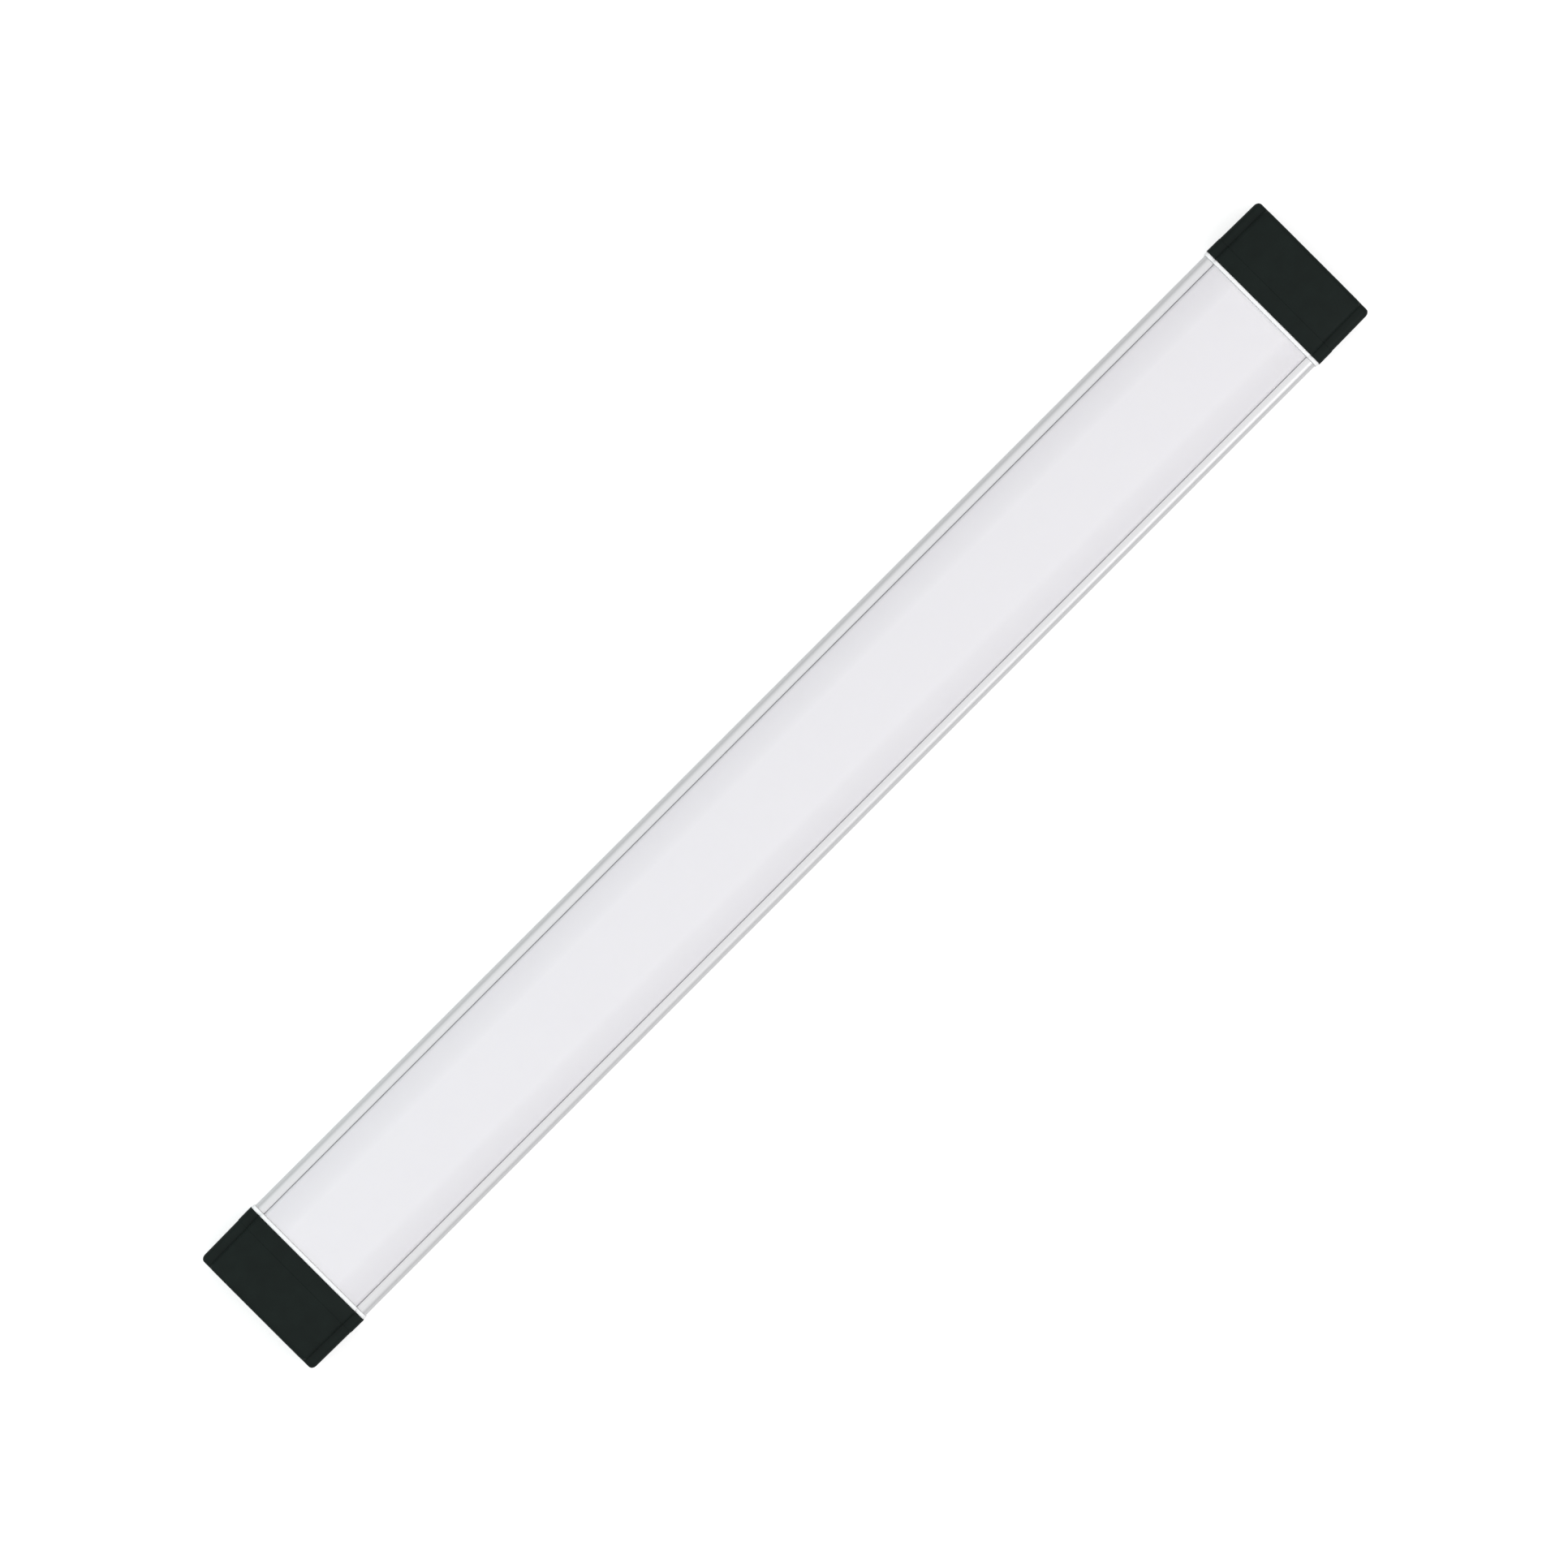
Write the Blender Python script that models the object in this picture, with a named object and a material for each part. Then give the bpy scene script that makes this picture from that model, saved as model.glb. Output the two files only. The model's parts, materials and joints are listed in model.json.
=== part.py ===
"""A battery-powered LED light tube: light metal channel, opal diffuser and a plastic cap on each end.

The tube lies on its back along X with the diffuser facing +Z. The origin is under its middle, on the
plane that the two caps rest on. Dimensions are in millimetres and become metres in the meshes.
"""
import math

import bmesh
import bpy
from mathutils import Vector

MM = 0.001

# Whole tube
LENGTH = 600.0
CAP_LENGTH = 28.8
CAP_PROUD = 0.85
GAP = 0.3
ARC_STEPS = 6
SHOULDER_STEPS = 6
FLANK_STEPS = 4

# Cross-section of the channel
HALF_WIDTH = 31.25
BACK = CAP_PROUD
BACK_WALL = 1.8
SIDE_WALL = 1.8
CORNER_R = 6.0
LIP_TOP = 27.65
LIP_THICK = 1.4
LIP_ROUND = 3.4
LIP_INNER = 26.35
SLOT_Y = 28.9
LEDGE_Y = 24.6
LEDGE_TOP = 23.6
SHELF_HALF_X = 262.0
SHELF_BOTTOM = 22.75
SHELF_TOP = 24.25
PORT_Y = 25.6
PORT_LOW_Z = 6.5
PORT_HIGH_Z = 18.2
PORT_OUTER_R = 3.0
PORT_BORE_R = 1.5

# Cross-section of the diffuser
CROWN_HALF = 14.3
CROWN_TOP = 31.9
FLANK_LOW_SLOPE = 14.0
FLANK_HIGH_SLOPE = 8.0
DOME_HALF = 26.05
SHOULDER_R = 2.0
INNER_SHOULDER_R = 0.6
DIFFUSER_WALL = 2.0
FOOT_Y = 28.6
FOOT_THICK = 1.4

# End caps
CAP_WALL = 1.8
CAP_END_WALL = 2.4
CAP_DRAFT = 0.011
CAP_EDGE_LENGTH = 2.4
CAP_EDGE_INSET = 1.9
CAP_CORNER_R = 6.5
CAP_LIP_ROUND = 2.7
CAP_DOME_HALF = 27.4
CAP_SHOULDER_R = 2.0
CAP_BOSS_R = 4.0
SCREW_HEAD_R = 2.75
SCREW_HEAD_H = 1.9
SCREW_R = 1.2
SCREW_LENGTH = 42.0
COUNTERBORE_R = 3.1
COUNTERBORE_DEPTH = 2.3
CLEARANCE_R = 1.6
GASKET_THICK = 1.2
GASKET_INSET = 0.25
GASKET_WIDTH = 1.6

# Control panel in the right cap
PANEL_Z = 14.5
PANEL_HALF_Y = 21.3
PANEL_HALF_Z = 10.1
PANEL_DEPTH = 0.8
WINDOW_Y = -8.6
WINDOW_HALF_Y = 11.7
WINDOW_HALF_Z = 6.2
WINDOW_FLANGE = 0.9
BUTTON_R = 2.8
BUTTON_FLANGE_R = 3.6
BUTTON_PROUD = 0.5
BUTTON_MID_Y = 12.5
BUTTON_SPREAD = 3.9
LIGHT_PIPE_R = 0.9
BOARD_THICK = 1.5
SWITCH_HALF = 3.0
SWITCH_DEPTH = 3.2
SWITCH_BORE_R = 1.4
SWITCH_STEM_R = 1.05

# Charging socket and its cover in the left cap
SOCKET_Y = 14.2
SOCKET_Z = 14.5
SOCKET_HALF_Y = 4.47
SOCKET_HALF_Z = 1.63
SOCKET_WALL = 0.35
SOCKET_DEPTH = 7.3
RECESS_HALF_Y = 6.3
RECESS_LOW_Z = 9.6
RECESS_HIGH_Z = 20.3
RECESS_DEPTH = 1.9
COVER_AXIS_X = -LENGTH / 2 + 1.05
COVER_AXIS_Z = 19.0
COVER_HEIGHT = 9.1
COVER_OUT = 0.85
COVER_IN = 0.45
KNUCKLE_R = 0.55
PIN_R = 0.4
PIN_SOCKET_R = 0.65

# Tripod inserts, thread 1/4 inch
THREAD_R = 3.2
END_INSERT_R = 4.7
END_INSERT_LENGTH = 10.4
END_BOSS_R = 7.4
REAR_INSERT_R = 6.0
REAR_FLANGE_R = 9.0

# Magnets behind the back wall
MAGNET_X = 215.0
MAGNET_CUP_R = 10.0
MAGNET_FLANGE_R = 11.8
MAGNET_R = 8.1

# Light engine
LED_BOARD_HALF_Y = 13.0
LED_BOARD_THICK = 1.2
LED_ROW_Y = 6.0
LED_HALF = (1.75, 1.4)
LED_HEIGHT = 0.8
LEDS_IN_ROW = 20
LED_BOARD_NEAR = 2.5
LED_BOARD_FAR = 260.5

# Battery, four round cells
CELL_R = 9.2
CELL_LENGTH = 65.2
CELL_Y = 9.65
CELL_Z = 13.25
TRAY_LEFT = -192.0
TRAY_RIGHT = -56.0
TRAY_WALL = 1.2
TRAY_HALF_Y = 20.4
TRAY_TOP = 12.0

# Positions worked out from the above
INNER_FLOOR = BACK + BACK_WALL
CAP_INNER_X = LENGTH / 2 - CAP_LENGTH
CAP_FLOOR_X = LENGTH / 2 - CAP_END_WALL
GASKET_NEAR_X = CAP_INNER_X - GAP - GASKET_THICK
TUBE_END_X = GASKET_NEAR_X - GAP
FOOT_BOTTOM = SHELF_TOP + GAP
PANEL_FLOOR_X = LENGTH / 2 - PANEL_DEPTH
BUTTON_FLANGE_X = CAP_FLOOR_X - GAP
BUTTON_TIP_X = PANEL_FLOOR_X + BUTTON_PROUD
SWITCH_FRONT_X = BUTTON_FLANGE_X - 3.7
SWITCH_BACK_X = SWITCH_FRONT_X - SWITCH_DEPTH
PANEL_BOARD_X = SWITCH_BACK_X - GAP
SCREW_PLACES = [(side * PORT_Y, z) for z in (PORT_LOW_Z, PORT_HIGH_Z) for side in (1, -1)]
BUTTONS = {
    "power_button": (BUTTON_MID_Y - BUTTON_SPREAD, PANEL_Z + BUTTON_SPREAD),
    "mode_button": (BUTTON_MID_Y - BUTTON_SPREAD, PANEL_Z - BUTTON_SPREAD),
    "plus_button": (BUTTON_MID_Y + BUTTON_SPREAD, PANEL_Z + BUTTON_SPREAD),
    "minus_button": (BUTTON_MID_Y + BUTTON_SPREAD, PANEL_Z - BUTTON_SPREAD),
}


# ---------------------------------------------------------------- materials

def material(name, colour, roughness, metallic=0.0, alpha=1.0):
    made = bpy.data.materials.new(name)
    made.use_nodes = True
    shader = made.node_tree.nodes["Principled BSDF"]
    shader.inputs["Base Color"].default_value = (*colour, 1.0)
    shader.inputs["Roughness"].default_value = roughness
    shader.inputs["Metallic"].default_value = metallic
    shader.inputs["Alpha"].default_value = alpha
    made.diffuse_color = (*colour, alpha)
    return made


# ---------------------------------------------------------------- outlines in the Y-Z plane

def arc(centre_y, centre_z, radius_y, radius_z, start, end, steps):
    """Points on an ellipse from one angle to another, in degrees, both ends included."""
    angles = [math.radians(start + (end - start) * i / steps) for i in range(steps + 1)]
    return [(centre_y + radius_y * math.cos(a), centre_z + radius_z * math.sin(a)) for a in angles]


def rounded_rectangle(half_y, half_z, radius, steps=3):
    corners = ((1, 1, 0), (-1, 1, 90), (-1, -1, 180), (1, -1, 270))
    outline = []
    for side_y, side_z, start in corners:
        centre_y = side_y * (half_y - radius)
        centre_z = side_z * (half_z - radius)
        outline += arc(centre_y, centre_z, radius, radius, start, start + 90, steps)
    return outline


def mirrored(right_half):
    """The closed outline of a right half that is listed from its bottom to its top."""
    return right_half + [(-y, z) for y, z in reversed(right_half)]


def moved(outline, dy, dz):
    return [(y + dy, z + dz) for y, z in outline]


def inset(outline, distance):
    """The outline moved inwards by a distance, keeping its number of points."""
    count = len(outline)
    result = []
    for i, point in enumerate(outline):
        before = Vector(outline[i - 1])
        here = Vector(point)
        after = Vector(outline[(i + 1) % count])
        first = (here - before).normalized()
        second = (after - here).normalized()
        normal_1 = Vector((-first.y, first.x))
        normal_2 = Vector((-second.y, second.x))
        shift = (normal_1 + normal_2) * (distance / (1 + normal_1.dot(normal_2)))
        result.append(tuple(here + shift))
    return result


def port_mouth(centre_z, first, mouth, last):
    """A screw port's edge: round its outside, into its bore through the mouth, and out again."""
    opens, closes = mouth
    edge = arc(PORT_Y, centre_z, PORT_OUTER_R, PORT_OUTER_R, first, opens, 2)
    edge += arc(PORT_Y, centre_z, PORT_BORE_R, PORT_BORE_R, opens, closes - 360, 12)
    edge += arc(PORT_Y, centre_z, PORT_OUTER_R, PORT_OUTER_R, closes, last, 4)
    return edge


def channel_outline():
    wall_y = HALF_WIDTH - SIDE_WALL
    corner_y = HALF_WIDTH - CORNER_R
    ledge_turn = math.degrees(math.acos((LEDGE_Y - PORT_Y) / PORT_OUTER_R))
    half = arc(corner_y, BACK + CORNER_R, CORNER_R, CORNER_R, -90, 0, ARC_STEPS)
    half += arc(HALF_WIDTH - LIP_ROUND, LIP_TOP - LIP_ROUND, LIP_ROUND, LIP_ROUND, 0, 90, ARC_STEPS)
    half += [(LIP_INNER, LIP_TOP), (LIP_INNER, LIP_TOP - LIP_THICK)]
    half += [(SLOT_Y, LIP_TOP - LIP_THICK), (SLOT_Y, LEDGE_TOP), (LEDGE_Y, LEDGE_TOP)]
    half += port_mouth(PORT_HIGH_Z, ledge_turn, (155, 205), 300)
    half += [(wall_y, PORT_HIGH_Z - PORT_OUTER_R), (wall_y, PORT_LOW_Z + PORT_OUTER_R)]
    half += port_mouth(PORT_LOW_Z, 60, (110, 160), 210)
    half += [(PORT_Y - PORT_OUTER_R, INNER_FLOOR)]
    return mirrored(half)


def dome_outline(half_width, shoulder_r, crown_half, top):
    """From a side wall over its rounded shoulder and up a gently curved flank to the flat crown."""
    low = math.radians(FLANK_LOW_SLOPE)
    high = math.radians(FLANK_HIGH_SLOPE)
    shoulder_y = half_width - shoulder_r
    flank_r = (shoulder_y + shoulder_r * math.sin(low) - crown_half) / (math.sin(low) - math.sin(high))
    flank_y = crown_half - flank_r * math.sin(high)
    flank_z = top - flank_r * math.cos(high)
    shoulder_z = flank_z + (flank_r - shoulder_r) * math.cos(low)
    shoulder = arc(shoulder_y, shoulder_z, shoulder_r, shoulder_r, 0, 90 - FLANK_LOW_SLOPE, SHOULDER_STEPS)
    flank = arc(flank_y, flank_z, flank_r, flank_r, 90 - FLANK_LOW_SLOPE, 90 - FLANK_HIGH_SLOPE, FLANK_STEPS)
    return shoulder + flank[1:]


def diffuser_outline():
    """A shallow dome with a flat crown and a foot on each side that hooks under the lip."""
    foot_top = FOOT_BOTTOM + FOOT_THICK
    outer = [(FOOT_Y, FOOT_BOTTOM), (FOOT_Y, foot_top), (DOME_HALF, foot_top)]
    outer += dome_outline(DOME_HALF, SHOULDER_R, CROWN_HALF, CROWN_TOP)
    inner_half = DOME_HALF - DIFFUSER_WALL
    inner = [(inner_half, FOOT_BOTTOM)]
    inner += dome_outline(inner_half, INNER_SHOULDER_R, CROWN_HALF, CROWN_TOP - DIFFUSER_WALL)
    return mirrored(outer) + [(-y, z) for y, z in inner] + inner[::-1]


def cap_outline():
    """The tube's own outline grown by what the cap stands proud, with its step beside the dome."""
    half_width = HALF_WIDTH + CAP_PROUD
    lip_top = LIP_TOP + CAP_PROUD
    half = arc(half_width - CAP_CORNER_R, CAP_CORNER_R, CAP_CORNER_R, CAP_CORNER_R, -90, 0, ARC_STEPS)
    half += arc(half_width - CAP_LIP_ROUND, lip_top - CAP_LIP_ROUND, CAP_LIP_ROUND, CAP_LIP_ROUND,
                0, 90, ARC_STEPS)
    half += [(CAP_DOME_HALF, lip_top)]
    half += dome_outline(CAP_DOME_HALF, CAP_SHOULDER_R, CROWN_HALF + GAP, CROWN_TOP + CAP_PROUD)
    return mirrored(half)


# ---------------------------------------------------------------- mesh builders

def finish(name, mesh_builder, look, origin=(0.0, 0.0, 0.0)):
    """One object from a bmesh in millimetres, its origin at the given point, shaded by its angles."""
    bmesh.ops.recalc_face_normals(mesh_builder, faces=mesh_builder.faces)
    bmesh.ops.translate(mesh_builder, verts=mesh_builder.verts, vec=-Vector(origin))
    bmesh.ops.scale(mesh_builder, verts=mesh_builder.verts, vec=(MM, MM, MM))
    mesh = bpy.data.meshes.new(name)
    mesh_builder.to_mesh(mesh)
    mesh_builder.free()
    mesh.materials.append(look)
    mesh.shade_smooth()
    mesh.set_sharp_from_angle(angle=math.radians(30))
    made = bpy.data.objects.new(name, mesh)
    made.location = Vector(origin) * MM
    bpy.context.scene.collection.objects.link(made)
    return made


def loft(name, rings, look, closed=False, origin=(0.0, 0.0, 0.0)):
    """Skins rings of points with the same count. The ends are filled, or joined to each other."""
    builder = bmesh.new()
    rows = [[builder.verts.new(point) for point in ring] for ring in rings]
    pairs = list(zip(rows, rows[1:]))
    if closed:
        pairs.append((rows[-1], rows[0]))
    else:
        builder.faces.new(rows[0])
        builder.faces.new(rows[-1])
    for low, high in pairs:
        for i in range(len(low)):
            builder.faces.new((low[i - 1], low[i], high[i], high[i - 1]))
    return finish(name, builder, look, origin)


def loft_x(name, sections, look, closed=False, origin=(0.0, 0.0, 0.0)):
    rings = [[(x, y, z) for y, z in outline] for x, outline in sections]
    return loft(name, rings, look, closed, origin)


def turned(name, profile, look, axis, centre, steps=24, closed=False, origin=(0.0, 0.0, 0.0)):
    """A profile of (radius, height) pairs turned about X, Y or Z through a centre.

    A radius of zero at an end closes the shape there, and a closed profile makes a ring.
    """
    builder = bmesh.new()
    order = {"X": (2, 0, 1), "Y": (1, 2, 0), "Z": (0, 1, 2)}[axis]
    rows = []
    for radius, height in profile:
        count = steps if radius > 0 else 1
        row = []
        for i in range(count):
            turn = 2 * math.pi * i / steps
            local = (radius * math.cos(turn), radius * math.sin(turn), height)
            point = [local[k] + c for k, c in zip(order, centre)]
            row.append(builder.verts.new(point))
        rows.append(row)
    pairs = list(zip(rows, rows[1:]))
    if closed:
        pairs.append((rows[-1], rows[0]))
    for low, high in pairs:
        for i in range(steps):
            corners = [low[i - 1 if len(low) > 1 else 0], low[i % len(low)],
                       high[i % len(high)], high[i - 1 if len(high) > 1 else 0]]
            builder.faces.new(list(dict.fromkeys(corners)))
    if not closed:
        for row in (rows[0], rows[-1]):
            if len(row) > 1:
                builder.faces.new(row)
    return finish(name, builder, look, origin)


def block(name, low, high, look, bevel=0.0):
    """A box between two opposite corners, with its edges bevelled."""
    builder = bmesh.new()
    bmesh.ops.create_cube(builder, size=1.0)
    size = [abs(b - a) for a, b in zip(low, high)]
    middle = (Vector(high) + Vector(low)) / 2
    bmesh.ops.scale(builder, verts=builder.verts, vec=size)
    bmesh.ops.translate(builder, verts=builder.verts, vec=middle)
    if bevel:
        bmesh.ops.bevel(builder, geom=builder.edges[:], offset=bevel, segments=1, affect="EDGES")
    return finish(name, builder, look)


def relief_board(name, low, high, parts, look):
    """A flat board between two corners, with parts (x0, x1, y0, y1, height) standing on its top."""
    xs = sorted({low[0], high[0]} | {x for part in parts for x in part[:2]})
    ys = sorted({low[1], high[1]} | {y for part in parts for y in part[2:4]})
    builder = bmesh.new()
    corners = {}

    def corner(i, j, z):
        if (i, j, z) not in corners:
            corners[i, j, z] = builder.verts.new((xs[i], ys[j], z))
        return corners[i, j, z]

    def top_of(i, j):
        middle_x = (xs[i] + xs[i + 1]) / 2
        middle_y = (ys[j] + ys[j + 1]) / 2
        for x0, x1, y0, y1, height in parts:
            if x0 < middle_x < x1 and y0 < middle_y < y1:
                return high[2] + height
        return high[2]

    def wall(a, b, z_a, z_b):
        builder.faces.new((corner(*a, z_a), corner(*b, z_a), corner(*b, z_b), corner(*a, z_b)))

    columns = len(xs) - 1
    rows = len(ys) - 1
    tops = {(i, j): top_of(i, j) for i in range(columns) for j in range(rows)}
    for (i, j), z in tops.items():
        builder.faces.new([corner(i + a, j + b, z) for a, b in ((0, 0), (1, 0), (1, 1), (0, 1))])
        for step, a, b in (((1, 0), (i + 1, j), (i + 1, j + 1)), ((0, 1), (i, j + 1), (i + 1, j + 1))):
            beside = tops.get((i + step[0], j + step[1]))
            if beside is not None and beside != z:
                wall(a, b, z, beside)
    rim = [(i, 0) for i in range(columns)] + [(columns, j) for j in range(rows)]
    rim += [(i, rows) for i in range(columns, 0, -1)] + [(0, j) for j in range(rows, 0, -1)]
    for a, b in zip(rim, rim[1:] + rim[:1]):
        wall(a, b, low[2], high[2])
    builder.faces.new([corner(*place, low[2]) for place in rim])
    return finish(name, builder, look)


def lead(name, route, radius, look):
    """A round lead on a smooth curve through its route's points, with filled ends."""
    curve = bpy.data.curves.new(name, "CURVE")
    curve.dimensions = "3D"
    curve.bevel_depth = radius * MM
    curve.bevel_resolution = 2
    curve.use_fill_caps = True
    points = smooth_route(route)
    spline = curve.splines.new("POLY")
    spline.points.add(len(points) - 1)
    for target, point in zip(spline.points, points):
        target.co = (*(point * MM), 1.0)
    curve.materials.append(look)
    made = bpy.data.objects.new(name, curve)
    bpy.context.scene.collection.objects.link(made)
    return made


def smooth_route(route, steps=3):
    """Points on a Catmull-Rom curve through the route."""
    knots = [Vector(p) for p in route]
    knots = [2 * knots[0] - knots[1]] + knots + [2 * knots[-1] - knots[-2]]
    points = []
    for a, b, c, d in zip(knots, knots[1:], knots[2:], knots[3:]):
        for i in range(steps):
            t = i / steps
            points.append(0.5 * (2 * b + (c - a) * t + (2 * a - 5 * b + 4 * c - d) * t ** 2
                                 + (3 * b - a - 3 * c + d) * t ** 3))
    return points + [knots[-2]]


def boolean(target, tool, operation):
    tool.hide_render = True
    tool.display_type = "WIRE"
    modifier = target.modifiers.new(operation.title(), "BOOLEAN")
    modifier.operation = operation
    modifier.solver = "EXACT"
    modifier.object = tool


# ---------------------------------------------------------------- channel, diffuser and seals

def make_channel(look, tool_look):
    """The channel with the shelf that carries the light boards, cut short at both ends for the leads."""
    outline = channel_outline()
    channel = loft_x("rear_housing", [(-TUBE_END_X, outline), (TUBE_END_X, outline)], look)
    shelf_half_y = SLOT_Y + 0.3
    shelf = block("light_shelf", (-SHELF_HALF_X, -shelf_half_y, SHELF_BOTTOM),
                  (SHELF_HALF_X, shelf_half_y, SHELF_TOP), tool_look)
    boolean(channel, shelf, "UNION")
    holes = [(0.0, REAR_INSERT_R), (-MAGNET_X, MAGNET_CUP_R), (MAGNET_X, MAGNET_CUP_R)]
    for i, (x, radius) in enumerate(holes):
        profile = [(radius + GAP, BACK - 1), (radius + GAP, INNER_FLOOR + 1)]
        cutter = turned(f"back_hole_{i}", profile, tool_look, "Z", (x, 0, 0))
        boolean(channel, cutter, "DIFFERENCE")


def make_diffuser(look):
    outline = diffuser_outline()
    loft_x("front_diffuser", [(-TUBE_END_X, outline), (TUBE_END_X, outline)], look)


def make_gasket(name, side, look):
    outer = inset(cap_outline(), GASKET_INSET)
    inner = inset(cap_outline(), GASKET_INSET + GASKET_WIDTH)
    near = side * GASKET_NEAR_X
    far = side * (GASKET_NEAR_X + GASKET_THICK)
    loft_x(name, [(near, outer), (far, outer), (far, inner), (near, inner)], look, closed=True)


# ---------------------------------------------------------------- end caps

def drafted(outline, x):
    """The outline drawn in as the cap narrows towards its outer end. Its back stays flat."""
    taper = 1 - CAP_DRAFT * (x - CAP_INNER_X) / CAP_LENGTH
    return [(y * taper, z * taper) for y, z in outline]


def cap_shell(name, side, look):
    """A hollow cap: the cavity from its floor to the open end, then the outside to the rounded end."""
    outline = cap_outline()
    cavity = inset(outline, CAP_WALL)
    sections = [(CAP_FLOOR_X, drafted(cavity, CAP_FLOOR_X)), (CAP_INNER_X, cavity), (CAP_INNER_X, outline)]
    end = LENGTH / 2
    base = drafted(outline, end - CAP_EDGE_LENGTH)
    for i in range(ARC_STEPS + 1):
        turn = math.radians(90 * i / ARC_STEPS)
        x = end - CAP_EDGE_LENGTH * (1 - math.sin(turn))
        sections.append((x, inset(base, CAP_EDGE_INSET * (1 - math.cos(turn)))))
    return loft_x(name, [(side * x, section) for x, section in sections], look)


def add_screw_bosses(cap, side, look):
    """A pillar for each screw, from the end wall to the open end, with a rib to the side wall."""
    near = side * CAP_INNER_X
    far = side * (CAP_FLOOR_X + 1)
    rib_reach = HALF_WIDTH + CAP_PROUD - CAP_WALL / 2 - PORT_Y
    for i, (y, z) in enumerate(SCREW_PLACES):
        boss = turned(f"{cap.name}_boss_{i}", [(CAP_BOSS_R, near), (CAP_BOSS_R, far)], look, "X",
                      (0, y, z), steps=16)
        boolean(cap, boss, "UNION")
        rib_end = y + math.copysign(rib_reach, y)
        rib = block(f"{cap.name}_rib_{i}", (near, y, z - 1.5), (far, rib_end, z + 1.5), look)
        boolean(cap, rib, "UNION")


def cut_screw_holes(cap, side, look):
    end = LENGTH / 2
    seat = end - COUNTERBORE_DEPTH
    profile = [(CLEARANCE_R, CAP_INNER_X - 1), (CLEARANCE_R, seat), (COUNTERBORE_R, seat),
               (COUNTERBORE_R, end + 1)]
    profile = [(radius, side * x) for radius, x in profile]
    for i, (y, z) in enumerate(SCREW_PLACES):
        hole = turned(f"{cap.name}_hole_{i}", profile, look, "X", (0, y, z), steps=16)
        boolean(cap, hole, "DIFFERENCE")


def make_screw(name, side, y, z, look):
    """A long pan-head screw with a six-sided socket."""
    seat = LENGTH / 2 - COUNTERBORE_DEPTH + GAP
    top = seat + SCREW_HEAD_H
    profile = [(SCREW_R, seat - SCREW_LENGTH), (SCREW_R, seat), (SCREW_HEAD_R, seat),
               (SCREW_HEAD_R, top - 0.5), (SCREW_HEAD_R - 0.5, top)]
    profile = [(radius, side * x) for radius, x in profile]
    screw = turned(name, profile, look, "X", (0, y, z), steps=16)
    socket = turned(f"{name}_socket", [(1.2, side * (top - 1.1)), (1.2, side * (top + 1))], look, "X",
                    (0, y, z), steps=6)
    boolean(screw, socket, "DIFFERENCE")


def make_screws(label, side, look):
    for i, (y, z) in enumerate(SCREW_PLACES):
        make_screw(f"cap_screw_{label}_{i + 1}", side, y, z, look)


# ---------------------------------------------------------------- control end

def make_control_cap(look):
    cap = cap_shell("end_cap_right", 1, look)
    add_screw_bosses(cap, 1, look)
    cut_screw_holes(cap, 1, look)
    end = LENGTH / 2
    recess = moved(rounded_rectangle(PANEL_HALF_Y, PANEL_HALF_Z, 3.0), 0, PANEL_Z)
    boolean(cap, loft_x("panel_recess", [(PANEL_FLOOR_X, recess), (end + 1, recess)], look), "DIFFERENCE")
    aperture = rounded_rectangle(WINDOW_HALF_Y + GAP, WINDOW_HALF_Z + GAP, 1.3)
    aperture = moved(aperture, WINDOW_Y, PANEL_Z)
    opening = loft_x("window_opening", [(CAP_FLOOR_X - 1, aperture), (end, aperture)], look)
    boolean(cap, opening, "DIFFERENCE")
    places = [(name + "_hole", y, z, BUTTON_R + GAP) for name, (y, z) in BUTTONS.items()]
    places.append(("light_pipe_hole", BUTTON_MID_Y, PANEL_Z, LIGHT_PIPE_R + GAP))
    for name, y, z, radius in places:
        hole = turned(name, [(radius, CAP_FLOOR_X - 1), (radius, end)], look, "X", (0, y, z), steps=20)
        boolean(cap, hole, "DIFFERENCE")


def make_window(look):
    """The display's clear window, with a flange behind the cap's wall."""
    front = moved(rounded_rectangle(WINDOW_HALF_Y, WINDOW_HALF_Z, 1.0), WINDOW_Y, PANEL_Z)
    flange = rounded_rectangle(WINDOW_HALF_Y + WINDOW_FLANGE, WINDOW_HALF_Z + WINDOW_FLANGE, 1.0)
    flange = moved(flange, WINDOW_Y, PANEL_Z)
    flange_x = CAP_FLOOR_X - GAP
    loft_x("display_window", [(flange_x - 1.2, flange), (flange_x, flange), (flange_x, front),
                              (PANEL_FLOOR_X - 0.2, front)], look)


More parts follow.
